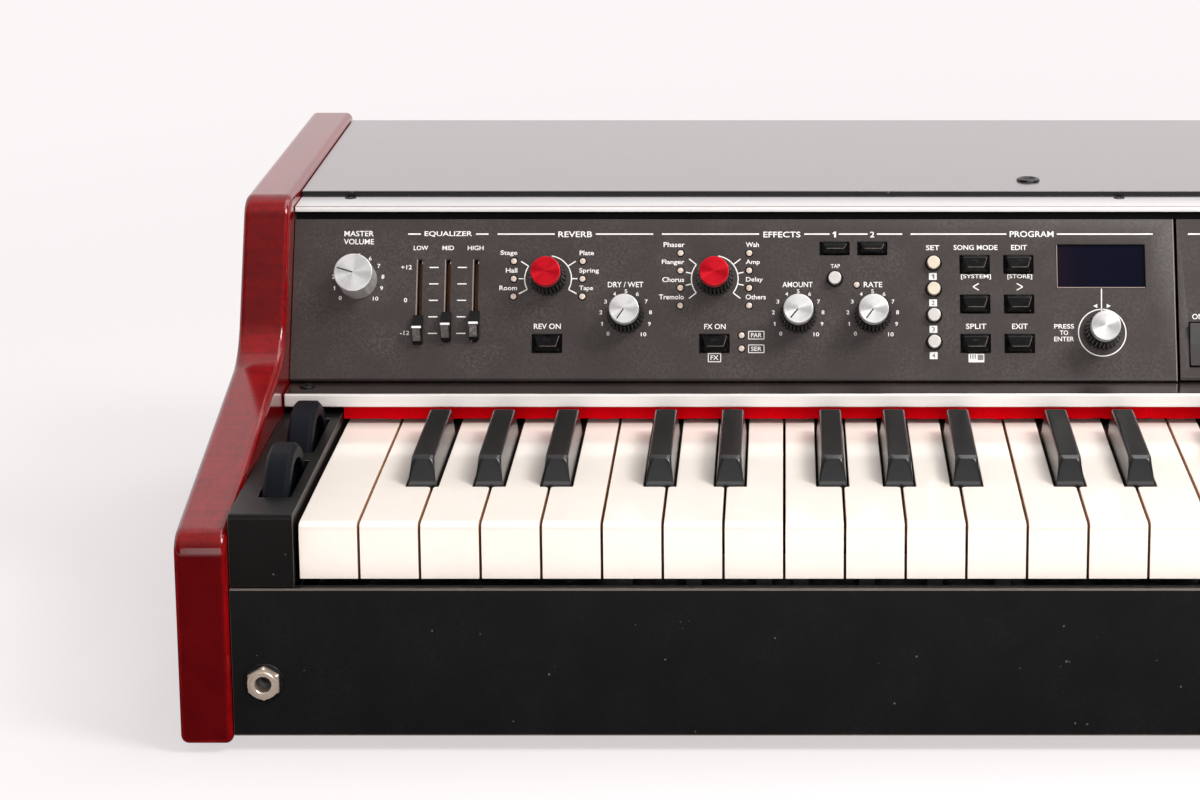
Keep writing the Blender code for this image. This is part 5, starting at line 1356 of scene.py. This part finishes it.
# %% Headings' lines, arrows and the slider scale
HEADING_ROW = 65.6
for low, high in ((-481.8, -476.2), (-452.1, -446.6), (-442.6, -417.7), (-399.7, -374.6), (-370.8, -328.3),
                  (-308.5, -297.4), (-293.5, -280.8), (-276.8, -265.7), (-262.0, -220.1), (-198.1, -156.1)):
    ink.append(bar_print(low, high, HEADING_ROW))
for x in (-470.0, -457.7):
    ink += [bar_print(x - 2.0, x + 2.0, s, 0.5) for s in (50.7, 43.4, 36.1, 28.8, 21.5)]
for x, way in ((-233.8, -1), (-214.7, 1)):
    tip = (x + way * 1.3, 42.1)
    ink += [stroke(tip, (x - way * 1.3, 43.6), 0.5), stroke(tip, (x - way * 1.3, 40.6), 0.5)]
for x, way in ((-181.9, -1), (-176.2, 1)):
    outline = np.array([(x + way * 1.0, 33.6), (x - way * 0.8, 32.7), (x - way * 0.8, 34.5)])
    ink.append(slab(outline, 0.0, INK, on_panel, edge=0.005, steps=1))
ink.append(stroke((-179.1, 41.3), (-179.3, 31.0), 0.5))

# %% [markdown]
# ## Rings and ticks of the selectors
#
# A ring runs round each red selector, with a tick towards every lamp. The ticks lie at unequal angles,
# because the lamps stand in straight columns.

# %% Rings and ticks of the selectors
lamps = []
SELECTOR_TICKS = ((57, 90, 118), (52, 77, 103, 128))
LAMP_ROWS = ((53.5, 45.6, 37.8), (57.1, 49.3, 41.6, 33.8))
RING_RADIUS, LAMP_OFFSET = 10.2, 15.0
for (x, s), ticks, rows in zip(SELECTORS, SELECTOR_TICKS, LAMP_ROWS):
    ink += [arc_print(x, s, RING_RADIUS, -ticks[-1], -ticks[0]), arc_print(x, s, RING_RADIUS, 8, ticks[-1])]
    for side in (-1, 1):
        for angle in ticks:
            turn = math.radians(angle) * side
            direction = np.array([math.sin(turn), math.cos(turn)])
            reach = 12.9 if abs(angle - 90) < 20 else 14.2
            ink.append(stroke((x, s) + direction * RING_RADIUS, (x, s) + direction * reach, 0.5))
    lamps += [(x + side * LAMP_OFFSET, row) for side in (-1, 1) for row in rows]
ink.append(arc_print(*ENCODER, 10.3, 0, 360, count=97))
lamps += [(-335.8, 20.6), (-335.8, 14.8), (-285.7, 43.0)]
print("lamps:", len(lamps))

# %% [markdown]
# ## Numerals round the dials
#
# The numbers 0 to 10 stand upright round each dial and are spread over 272 degrees. Sine and cosine of the
# angle give each place.

# %% Numerals round the dials
DIAL_START, DIAL_STEP, DIAL_REACH = -136, 27.2, 10.9


def dial_numbers(x, s, last_reach=DIAL_REACH):
    """0 to 10 on a circle: angle = start + step * number, clockwise from the top; 10 may stand further out."""
    made = []
    for number in range(11):
        turn = math.radians(DIAL_START + DIAL_STEP * number)
        width = {1: 0.8, 10: 2.4}.get(number, 1.25)
        reach = last_reach if number == 10 else DIAL_REACH
        made.append(printed(str(number), x + reach * math.sin(turn), s + reach * math.cos(turn), width, 1.75))
    return made


for x, s in DIALS:
    ink += dial_numbers(x, s, last_reach=11.3)
print("printed shapes:", len(ink))

# %% [markdown]
# ## Boxes with digits and the small keyboard
#
# Some signs are printed in reverse: a white box with the panel's grey showing through as a digit. Ink can't
# be cut so finely without a Boolean for each, so a second, grey coat lies on the white one.

# %% Boxes with digits, the small keyboard and the frames
plates, digits = [], []
for index, s in enumerate((46.7, 35.0, 23.3, 11.7), 1):
    plates.append(slab(box_outline(3.4, 3.1, 0.2, -252.5, s), 0.0, INK, on_panel, edge=0.005, steps=1))
    digits.append(printed(str(index), -252.5, s, 1.4, 2.0, level=INK, lift=0.01))
plates.append(slab(box_outline(6.8, 3.7, 0.15, -234.0, 10.6), 0.0, INK, on_panel, edge=0.005, steps=1))
for x in (-236.5, -235.5, -234.5):
    digits.append(slab(box_outline(0.5, 2.0, 0.05, x, 11.3), INK, INK + 0.01, on_panel, edge=0.002, steps=1))
digits.append(slab(box_outline(2.5, 2.4, 0.1, -232.2, 10.9), INK, INK + 0.01, on_panel, edge=0.002, steps=1))
for x, s, width, height in ((-329.4, 20.7, 6.7, 3.4), (-329.4, 14.7, 6.7, 3.4), (-347.5, 10.8, 5.4, 3.6)):
    u, v = width / 2, height / 2
    for way in (-1, 1):
        ink.append(stroke((x - u, s + way * v), (x + u, s + way * v), 0.35))
        ink.append(stroke((x + way * u, s - v), (x + way * u, s + v), 0.35))
piece("panel_print", together(ink + plates), print_white)
piece("panel_digits", together(digits), print_grey)

# %% [markdown]
# ## Lamps
#
# Small cream lenses beside each word light up on the real piano. Each is a low turned dome in a dark ring.
# They are off in the photograph, so they don't glow.

# %% Lamps
lens_profile = [(1.32, -0.6), (1.32, 0.1), (1.2, 0.3), (0.85, 0.45), (0.4, 0.52)]
ring_profile = [(1.36, -0.3), (1.75, -0.01), (1.8, 0.0), (1.77, 0.1), (1.4, 0.12)]
piece("lamp_lenses", together([turned(lens_profile, x, s, on_panel, 24) for x, s in lamps]), lens_cream)
piece("lamp_rings", together([turned(ring_profile, x, s, on_panel, 24) for x, s in lamps]), skirt_plastic)
print("pieces so far:", len(made_pieces))

# %% [markdown]
# ## A folded sheet with an opening
#
# The sheet of a sound module is folded twice. It is drawn along x from its side view, like the real sheet
# from a press brake. The opening for its switch can't be part of that view, so it is cut out by a Boolean
# with the Exact solver, applied at once.

# %% Functions for folded sheets
def cut_out(made, cutter_shape):
    """Take a shape out of a piece at once, and take its tool away again."""
    made.modifiers.clear()
    cutter = piece("opening_tool", cutter_shape, made.data.materials[0])
    cut = made.modifiers.new("opening", "BOOLEAN")
    cut.solver = "EXACT"
    cut.object = cutter
    bpy.context.view_layer.update()
    mesh = bpy.data.meshes.new_from_object(made.evaluated_get(bpy.context.evaluated_depsgraph_get()))
    made.modifiers.clear()
    made.data = mesh
    keep_flat(made)
    made_pieces.remove(cutter)
    bpy.data.objects.remove(cutter)


def folded_sheet(low, high, name, opening):
    """The folded panel sheet between two distances along x, with a rectangular opening cut through its face."""
    top_depth = PANEL_FOOT + PANEL_LENGTH * SLOPE_COS
    top = PANEL_BOTTOM + PANEL_LENGTH * SLOPE_SIN
    fold, sheet = 16, 2
    outline = [(top_depth + fold, top, 0.1), (top_depth, top, 0.6), (PANEL_FOOT, PANEL_BOTTOM, 1.8),
               (PANEL_FOOT + fold, PANEL_BOTTOM, 0.1), (PANEL_FOOT + fold, PANEL_BOTTOM + sheet, 0.1),
               (PANEL_FOOT + 3.14, PANEL_BOTTOM + sheet, 0.1), (top_depth + 1.27, top - sheet, 0.1),
               (top_depth + fold, top - sheet, 0.1)]
    made = piece(name, strip(round_corners(outline, 5), (low, high)), panel_paint)
    cut_out(made, slab(box_outline(*opening), -6, 4, on_panel, edge=0.01, steps=1))
    return made

# %% [markdown]
# ## The sound modules
#
# Two equal modules stand right of the main panel, each with six knobs, a scale round each knob and an ON
# switch at its left end. Only the left end of the first one shows in the photograph. The rest follows the
# main panel's rows and its dials.

# %% The two sound modules
MODULE_LEFT = (-145.7, 193.45)
MODULE_WIDTH = 337.85
MODULE_KNOBS = ((62.0, 45.7), (104.0, 29.2), (146.0, 45.7), (188.0, 29.2), (250.0, 45.7), (292.0, 29.2))
ROCKER_INSET, ROCKER_ROW = 9.4, 16.6
module_ink = []
for index, (left, node) in enumerate(zip(MODULE_LEFT, ("module_panel_a", "module_panel_b"))):
    right = left + MODULE_WIDTH
    sheet = folded_sheet(left, right, f"{node}_sheet", (10.6, 20.1, 0.3, left + ROCKER_INSET, ROCKER_ROW))
    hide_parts(node)
    module_ink.append(bar_print(left + 5.0, right - 9.0, HEADING_ROW))
    module_ink.append(printed("ON", left + 8.2, 28.9, 4.9, 2.4))
    for number, (dx, s) in enumerate(MODULE_KNOBS):
        knob(f"module_{index + 1}_knob_{number + 1}", left + dx, s, "plain", DIAL_START, "case", None, None)
        module_ink += dial_numbers(left + dx, s)
piece("module_print", together(module_ink), print_white)
print("knobs on the modules:", len(MODULE_LEFT) * len(MODULE_KNOBS))

# %% [markdown]
# ## Switch rockers
#
# A rocker is a shallow V in side view. It rests on one half and is drawn across its width with rounded
# ends; the mains switch behind has the same form.

# %% Rockers
def rocker_shape(x, y, place):
    """Side view of the rocker, turned 6 degrees about its pivot, drawn across its width."""
    half = 9.25
    view = round_corners([(half, 0, 0.3), (half, 2.2, 0.5), (0, 1.2, 0.3), (-half, 2.2, 0.5), (-half, 0, 0.3),
                          (-4, -5, 0.3), (4, -5, 0.3)], 3)
    tilt = math.radians(6)
    lifted = view[:, 1] + 1.0
    v = view[:, 0] * math.cos(tilt) - lifted * math.sin(tilt)
    w = view[:, 0] * math.sin(tilt) + lifted * math.cos(tilt) - 1.0
    ends = ((-5.0, 0.25), (-4.75, 0), (4.75, 0), (5.0, 0.25))
    return drawn([place(np.full(len(v), x + reach), y + v * (1 - inset / half), w - inset * 0.6 * (w > 0))
                  for reach, inset in ends])


piece("rocker_module_cap", rocker_shape(MODULE_LEFT[0] + ROCKER_INSET, ROCKER_ROW, on_panel), rocker_grey,
      "rocker_module", "rocker_module")
piece("rocker_power_cap", rocker_shape(80.0, -40.0, lambda x, y, out: on_rear(x, y, out + 1.5)), rocker_grey,
      "rocker_power", "rocker_power")
piece("rocker_module_2", rocker_shape(MODULE_LEFT[1] + ROCKER_INSET, ROCKER_ROW, on_panel), rocker_grey)
print("rockers:", [made.name for made in made_pieces if made.name.startswith("rocker")])

# %% [markdown]
# ## Display and the board behind the panel
#
# The display sits a little behind the panel, under a dark window. Behind the whole panel runs one circuit
# board with a switch under each button. Thin pale bars along cut edges of the sheet are painted
# highlights, and a strip of matte black on the panel under the trim is painted shadow.

# %% Display and board
DISPLAY = (-179.2, 51.3)
window = slab(box_outline(38.4, 19.2, 0.2, *DISPLAY), -4.0, -1.4, on_panel, edge=0.05)
piece("display_glass", window, screen, node="display_board")
board = slab(box_outline(354.3, 56, 0.5, -339.15, 38), -11.9, -10.3, on_panel, edge=0.1)
piece("switch_board", board, board_green)
stems = [slab(box_outline(4, 4, 0.3, x, s), -10.4, -4.4, on_panel, edge=0.2) for x, s in BUTTON_PLACES]
module = slab(box_outline(44, 24.8, 0.4, *DISPLAY), -10.4, -4.0, on_panel, edge=0.2)
piece("switch_bodies", together(stems + [module]), socket_plastic)
# Thin pale bars at the display opening's left and bottom edges and at the main panel's right edge: painted
# highlights.
edge_highlight_bars = [slab(box_outline(0.35, 19.2, 0.05, -198.3, DISPLAY[1]), -1.5, 0.05, on_panel, edge=0.04),
        slab(box_outline(38.4, 0.35, 0.05, DISPLAY[0], 41.8), -1.5, 0.05, on_panel, edge=0.04),
        slab(box_outline(0.3, 72.0, 0.05, -147.3, 36.5), -0.5, 0.05, on_panel, edge=0.04)]
piece("panel_edge_highlights", together(edge_highlight_bars), painted_edge_tone)
# A matte black strip on the top of the panel, under the trim's lip: painted shadow where the lip's shade falls.
piece("lip_painted_shadow", slab(box_outline(1062.0, 3.7, 0.1, 0.0, 74.1), -0.5, 0.1, on_panel, edge=0.05), joint_and_shadow_black)

# %% [markdown]
# ## Folded metal of the case
#
# The lid, the lower case, the rear sheet and the rails keep the shape of their solids. A copy of each gets
# its folds rounded, because a bent sheet never has a knife edge, and the thin line of light along a fold
# shows where it is.

# %% Softened copies
# Its rounded edges get a paler tone, a painted highlight.
softened("lower_case", black_coat, 0.6, edge_look=black_edge_highlight)
softened("rear_panel", black_coat, 0.3)
lid = softened("top_cover", cover_paint, 0.4)
trim = softened("top_trim", bright_trim, 0.25, segments=2)
rail = softened("key_rail", rail_metal, 0.9, segments=4)

# %% [markdown]
# ## Faces that look forward
#
# The front of the rail gets a paler, rougher finish than its top: partly a satin face, partly painted light
# that keeps the front bright. The front fold of the lid gets the black coat, painted shade, and a thin dull,
# darker line of painted shade runs along the trim's fold. A second finish could be painted by hand in Edit
# Mode. Here the faces are chosen by where their normal points, which also holds when the shape changes.

# %% Faces with a finish of their own
def refinish(made, look, least_forward, least_up, most_up):
    """Give a second finish to the faces that look forward and whose upward share lies between two values."""
    made.data.materials.append(look)
    normals = np.zeros(len(made.data.polygons) * 3)
    made.data.polygons.foreach_get("normal", normals)
    forward, up = -normals[1::3], normals[2::3]
    chosen = (forward > least_forward) & (up > least_up) & (up < most_up)
    made.data.polygons.foreach_set("material_index", chosen.astype(np.int32))
    print(f"{made.name}: {int(chosen.sum())} faces refinished")


# The rail's front: paler satin finish, partly painted light.
refinish(rail, rail_front_satin_and_lit, 0.7, -1.0, 0.7)
# The lid's front fold gets the black coat while its top keeps a lighter grey: painted shade on the fold.
refinish(lid, black_coat, 0.7, -1.0, 0.7)
# A thin darker line along the trim's fold: painted shade.
refinish(trim, painted_edge_tone, 0.2, 0.4, 0.97)
softened("control_panel", panel_paint, 1.8, segments=5, fold=(PANEL_FOOT, PANEL_BOTTOM))
# The rounded edges of both boxes get a paler tone, a painted highlight.
softened("wheel_box", box_plastic, 0.6, edge_look=box_edge_highlight)
softened("cheek_block", box_plastic, 0.6, edge_look=box_edge_highlight)

# %% [markdown]
# ## Felt strip
#
# A strip of red felt closes the gap between the rail and the keys. Its edge was cut with a blade and is
# never quite straight, so the front rows waver by a tenth of a millimetre, with random numbers that are
# smoothed over three neighbours. The fine nap is left to the finish's bump.

# %% Felt strip
felt_rows = np.linspace(1.7, 11.0, 12)
felt_x = np.linspace(-505.9, 505.9, 900)
wave = np.random.default_rng(7).normal(size=(12, 900))
wave = (wave + np.roll(wave, 1, 1) + np.roll(wave, 2, 1)) / 3
FELT_FRONT, FELT_BACK = 139.85, 143.8
level = felt_rows[:, None]
front = in_frame(felt_x[None], FELT_FRONT + 0.12 * wave, level + 0.15 * wave * (level < 2))
back = in_frame(felt_x[None], FELT_BACK + 0 * wave, level)
felt_rings = np.concatenate([front, back[::-1]], axis=0).transpose(1, 0, 2)
piece("felt_cloth", skin(felt_rings), felt, node="felt_strip", smooth=80)
print("sections of the felt:", len(felt_rings))

# %% [markdown]
# ## Sockets, nuts and screws
#
# A nut is a hexagon whose corners are turned down on a lathe. Cut from a cylinder it would need a Boolean
# with a cone. Here its radius is the smaller of two formulas, the cone's and the flats', which draws the
# same curved chamfers. Screws are low domes with a cross recess, and a ring is a washer or a seat.

# %% Functions for nuts and screws
def nut_shape(x, y, across_flats, low, high, bore, place):
    """A nut: for each angle the radius is the smaller of the chamfer cone's and the six flats' radius."""
    angle = np.arange(144) / 144 * 2 * np.pi
    flats = across_flats / 2 / np.cos(np.angle(np.exp(6j * (angle + math.radians(30)))) / 6)
    corner = across_flats / 2 / math.cos(math.radians(30))
    rows = np.array([(bore, low), (corner, low), (corner, high - 0.8), (across_flats / 2 + 0.1, high),
                     (bore + 0.4, high), (bore, high - 0.4), (bore, low)])
    radius = np.where(rows[:, :1] > across_flats / 2, np.minimum(rows[:, :1], flats[None]), rows[:, :1])
    rings = skin(place(x + radius * np.sin(angle), y + radius * np.cos(angle), rows[:, 1:]))
    return Shape(rings.points, rings.quads, [])


def ring_shape(x, y, inner, outer, low, high, place, count=64):
    """A flat ring with rounded rims."""
    rim = min(0.25, (high - low) / 3)
    rows = [(inner, low), (outer, low), (outer, high - rim), (outer - rim, high), (inner + rim, high),
            (inner, high - rim), (inner, low)]
    rings = turned(rows, x, y, place, count)
    return Shape(rings.points, rings.quads, [])


def screw_shape(x, y, radius, place, sunk=0.0, count=40):
    """A low dome whose middle sinks into a cross: the level falls where |u| or |v| is small."""
    part = np.array([1.0, 1.0, 0.97, 0.9, 0.75, 0.6, 0.5, 0.4, 0.3, 0.2, 0.1])[:, None]
    angle = (np.arange(count) / count * 2 * np.pi)[None]
    u, v = radius * part * np.sin(angle), radius * part * np.cos(angle)
    out = 0.25 * radius * np.sqrt(np.maximum(1 - part ** 2, 0)) + 0 * angle
    cross = (np.minimum(np.abs(u), np.abs(v)) < 0.13 * radius) & (part < 0.62)
    out = np.where(cross, out - 0.3 * radius, out) - sunk
    out[0] -= 0.6
    return skin(place(x + u, y + v, out))


# %% [markdown]
# ## The headphone socket
#
# The socket in front is held by a nickel nut on a black washer. Its threaded barrel is a turned profile
# that comes back along the bore, so that the inside is metal too. The plastic body behind gets a bore.

# %% Headphone socket
HEADPHONE = (-519.0, -62.5)
threads = [(5.15 - 0.12 * (turn % 2), 2.6 + 0.12 * turn) for turn in range(4)]
inside = [(4.9, 3.1), (3.6, 3.1), (3.3, 2.8), (3.2, -22.0), (3.3, -4.0)]
barrel = turned([(3.3, -4.0), (5.15, -4.0), (5.15, 2.6)] + threads + inside, *HEADPHONE, on_front, 64)
barrel = Shape(barrel.points, barrel.quads, [])
washer = ring_shape(*HEADPHONE, 5.3, 7.85, 0.0, 0.7, on_front)
nut = nut_shape(*HEADPHONE, 12.0, 0.7, 2.7, 4.3, on_front)
piece("headphone_nut", together([barrel, nut]), nickel, node="headphone_jack", smooth=30)
piece("headphone_washer", washer, black_screw, smooth=50)
housing = slab(box_outline(14, 14, 0.5, *HEADPHONE), -27.8, -1.9, on_front, edge=0.4)
socket_body = piece("headphone_body", housing, socket_plastic)
cut_out(socket_body, slab(circle(3.25, 40, *HEADPHONE), -24.0, 4.0, on_front, edge=0.01, steps=1))
print("faces of the bored body:", len(socket_body.data.polygons))

# %% [markdown]
# ## Screws and plugs
#
# Small black screws hold the rail, the trim and the rear sheet, and two low plugs close holes in the lid.
# They are joined into a few meshes, because they share a finish and never move.

# %% Screws of the rail, the trim, the lid and the rear
rail_top, trim_top, lid_top = on_top(13.3), on_top(84.85), on_top(87.6)
screws = [screw_shape(x, 148.5, 2.9, rail_top, sunk=-0.35) for x in (-522.7, 522.7)]
seats = [ring_shape(x, 148.5, 2.9, 3.35, -0.1, 0.12, rail_top, 40) for x in (-522.7, 522.7)]
piece("screw_seats", together(seats), joint_and_shadow_black)
screws += [screw_shape(x, 203.0, 2.6, trim_top) for x in (-509.3, -169.0, 169.0, 509.3)]
rear_places = [(x, y) for x in (-500, -300, -100, 100, 300, 500) for y in (-72, 74)]
screws += [screw_shape(x, y, 2.8, on_rear) for x, y in rear_places]
piece("case_screws", together(screws), black_screw, smooth=25)
plug_profile = [(5.25, -0.3), (5.25, 0.5), (4.9, 0.95), (4.1, 1.15), (3.4, 0.9), (2.9, 0.35), (1.0, 0.3)]
plugs = [turned(plug_profile, x, 228.0, lid_top, 48) for x in (-207.5, 207.5)]
piece("lid_plugs", together(plugs), black_screw, smooth=50)
print("screws:", len(screws), "plugs:", len(plugs))

# %% [markdown]
# ## Solids that keep their own shape
#
# The circuit board, the rear sockets and the encoder's stem need no finer shape, so they only get their
# finish. The nuts that hold the rear sockets are added here.

# %% Finishes on solids
def dress(node, look):
    """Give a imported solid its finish."""
    target = frame["nodes"][node]
    target.data.materials.clear()
    target.data.materials.append(look)


dress("circuit_board", board_green)
dress("rear_sockets", socket_plastic)
dress("encoder_stem", stem_steel)
jack_nuts = [nut_shape(x, -40.0, 12.0, 1.52, 2.9, 5.3, on_rear) for x in (-90, -65, -40, -15)]
piece("rear_nuts", together(jack_nuts), nickel, smooth=30)
shown = [thing.name for thing in frame["nodes"].values() if not thing.hide_render]
print("solids that stay visible:", shown)

# %% [markdown]
# ## The floor
#
# The piano stands on a plain pale floor in front of a white backdrop, as in a product photograph. A real
# floor of that kind is lit until it is white. Here its material does that for the camera alone, by Is
# Camera Ray, mixed with some plain shading near the piano, so that its shadow stays. Mirror images see a
# glow only at the back and far in front, which keeps black steel black.

# %% Floor
floor_mesh = bpy.data.meshes.new("floor")
floor_mesh.from_pydata([(-9, -9, 0), (9, -9, 0), (9, 9, 0), (-9, 9, 0)], [], [(0, 1, 2, 3)])
floor = bpy.data.objects.new("floor", floor_mesh)
scene.collection.objects.link(floor)


def behind(tree, vector, low, high, dim, bright):
    """Brightness between two values by how far a direction or a place lies to the back."""
    split = tree.nodes.new("ShaderNodeSeparateXYZ")
    tree.links.new(vector, split.inputs[0])
    node = tree.nodes.new("ShaderNodeMapRange")
    node.interpolation_type = "SMOOTHSTEP"
    for label, value in (("From Min", low), ("From Max", high), ("To Min", dim), ("To Max", bright)):
        node.inputs[label].default_value = value
    tree.links.new(split.outputs["Y"], node.inputs["Value"])
    return node.outputs["Result"], split


pale, pale_shader = finish("pale_floor", (0.93, 0.895, 0.9, 1.0), 0.9, level=0.0)
tree = pale.node_tree
path = tree.nodes.new("ShaderNodeLightPath")
spot = tree.nodes.new("ShaderNodeTexCoord")
glow = tree.nodes.new("ShaderNodeEmission")
glow.inputs["Color"].default_value = (1.0, 0.97, 0.975, 1.0)
back, _ = behind(tree, spot.outputs["Object"], 0.0, 0.9, 0.0, 0.95)
ahead, _ = behind(tree, spot.outputs["Object"], -0.85, -0.45, 0.8, 0.0)
level = math_node(tree, "ADD", math_node(tree, "MAXIMUM", back, ahead), 0.02)
tree.links.new(level, glow.inputs["Strength"])
mirror = tree.nodes.new("ShaderNodeMixShader")
tree.links.new(path.outputs["Is Glossy Ray"], mirror.inputs[0])
tree.links.new(pale_shader.outputs[0], mirror.inputs[1])
tree.links.new(glow.outputs[0], mirror.inputs[2])
white = tree.nodes.new("ShaderNodeEmission")
white.inputs["Color"].default_value = (0.975, 0.93, 0.935, 1.0)
far = tree.nodes.new("ShaderNodeVectorMath")
far.operation = "LENGTH"
tree.links.new(spot.outputs["Object"], far.inputs[0])
share = math_node(tree, "MULTIPLY", ramp(tree, far.outputs["Value"], 0.4, 1.5), 0.4)
share = math_node(tree, "ADD", share, 0.6)
mix = tree.nodes.new("ShaderNodeMixShader")
tree.links.new(math_node(tree, "MULTIPLY", path.outputs["Is Camera Ray"], share), mix.inputs[0])
tree.links.new(mirror.outputs[0], mix.inputs[1])
tree.links.new(white.outputs[0], mix.inputs[2])
tree.links.new(mix.outputs[0], tree.nodes["Material Output"].inputs["Surface"])
floor_mesh.materials.append(pale)
print("nodes of the floor:", len(tree.nodes))

# %% [markdown]
# ## The room
#
# The world stands for the white room. The camera sees it as plain white. Reflections see it bright behind,
# half as bright above and dim in front. All other rays get an even, weaker light that fills the shadows.

# %% Room
world = bpy.data.worlds.new("studio")
scene.world = world
world.use_nodes = True
tree = world.node_tree
background = tree.nodes["Background"]
background.inputs["Color"].default_value = (1.0, 0.955, 0.965, 1.0)
path = tree.nodes.new("ShaderNodeLightPath")
way = tree.nodes.new("ShaderNodeTexCoord")
back_level, split = behind(tree, way.outputs["Generated"], -0.15, 0.25, 0.0, 0.95)
high_level = ramp(tree, split.outputs["Z"], 0.25, 0.9)
gloss = math_node(tree, "MAXIMUM", math_node(tree, "MULTIPLY", high_level, 0.5), back_level)
gloss = math_node(tree, "ADD", gloss, 0.03)
seen = math_node(tree, "MAXIMUM", path.outputs["Is Glossy Ray"], path.outputs["Is Transmission Ray"])
other = math_node(tree, "SUBTRACT", 1.0, math_node(tree, "MAXIMUM", seen, path.outputs["Is Camera Ray"]))
strength = math_node(tree, "ADD", math_node(tree, "MULTIPLY", seen, gloss), path.outputs["Is Camera Ray"])
strength = math_node(tree, "ADD", strength, math_node(tree, "MULTIPLY", other, 0.42))
tree.links.new(strength, background.inputs["Strength"])
print("nodes of the room:", len(tree.nodes))

# %% [markdown]
# ## The lamps
#
# A soft lamp hangs high in front to the right, where the photograph's shadows say it was, with weaker ones
# above and behind. A low lamp lights the fronts of the keys but would show as a white patch in the lid, so
# it is hidden from reflections. A wide card does the reverse: it only shows in them.

# %% Lamps of the studio
def soft_light(name, place, aim, size, power, colour=(1, 1, 1)):
    """A rectangular lamp that looks at a point: pitch = angle from straight down, yaw = its heading."""
    light = bpy.data.lights.new(name, "AREA")
    light.shape = "RECTANGLE"
    light.size, light.size_y = size
    light.energy = power
    light.color = colour
    holder = bpy.data.objects.new(name, light)
    scene.collection.objects.link(holder)
    x, y, z = np.array(aim, float) - np.array(place, float)
    holder.location = place
    holder.rotation_euler = (math.atan2(math.hypot(x, y), -z), 0, math.atan2(-x, y))
    return holder


soft_light("light_key", (0.62, -0.7, 1.35), (-0.2, 0.0, 0.1), (0.55, 0.55), 18.5, (1.0, 0.985, 0.965))
soft_light("light_above", (0.1, 0.0, 1.7), (-0.1, 0.0, 0.1), (1.4, 0.7), 10)
soft_light("light_behind", (0.75, 0.75, 1.5), (-0.2, 0.0, 0.1), (1.0, 0.8), 6)
front_card = soft_light("light_front", (0.1, -2.3, 0.52), (0.1, 0.0, 0.1), (2.2, 1.0), 17)
front_card.visible_diffuse = False
low_light = soft_light("light_low", (0.0, -2.3, 0.7), (-0.1, 0.0, 0.1), (1.6, 0.5), 17.5, (1.0, 0.96, 0.92))
low_light.visible_glossy = False
print("lamps in the studio:", len(bpy.data.lights))

# %% [markdown]
# ## The camera
#
# The camera stands where the photograph was taken, in front of the left part of the keys and looking down.
# The photograph is a crop of a wider view, so the picture is shifted on the sensor instead of turning the
# camera further, which keeps the perspective of the whole view. The focal length was read in pixels, and
# the sensor's width turns it into millimetres.

# %% Camera
CAMERA_PLACE = (-0.31695, -1.3575, 0.4701)
CAMERA_PITCH = 11.7
PICTURE, AXIS_POINT, FOCAL_PIXELS, SENSOR = (1200, 800), (785, 177), 3175, 36
camera_data = bpy.data.cameras.new("camera")
camera_data.lens = SENSOR * FOCAL_PIXELS / PICTURE[0]
camera_data.sensor_width = SENSOR
camera_data.shift_x = (PICTURE[0] / 2 - AXIS_POINT[0]) / PICTURE[0]
camera_data.shift_y = (AXIS_POINT[1] - PICTURE[1] / 2) / PICTURE[0]
camera = bpy.data.objects.new("camera", camera_data)
camera.location = CAMERA_PLACE
camera.rotation_euler = (math.radians(90 - CAMERA_PITCH), 0, 0)
scene.collection.objects.link(camera)
scene.camera = camera
bpy.context.scene.view_settings.view_transform = "Standard"
print("focal length in mm:", round(camera_data.lens, 2))

# %% [markdown]
# ## Count of pieces
#
# The number of pieces made here is printed.

# %% Count of pieces
print("pieces made here:", len(made_pieces))
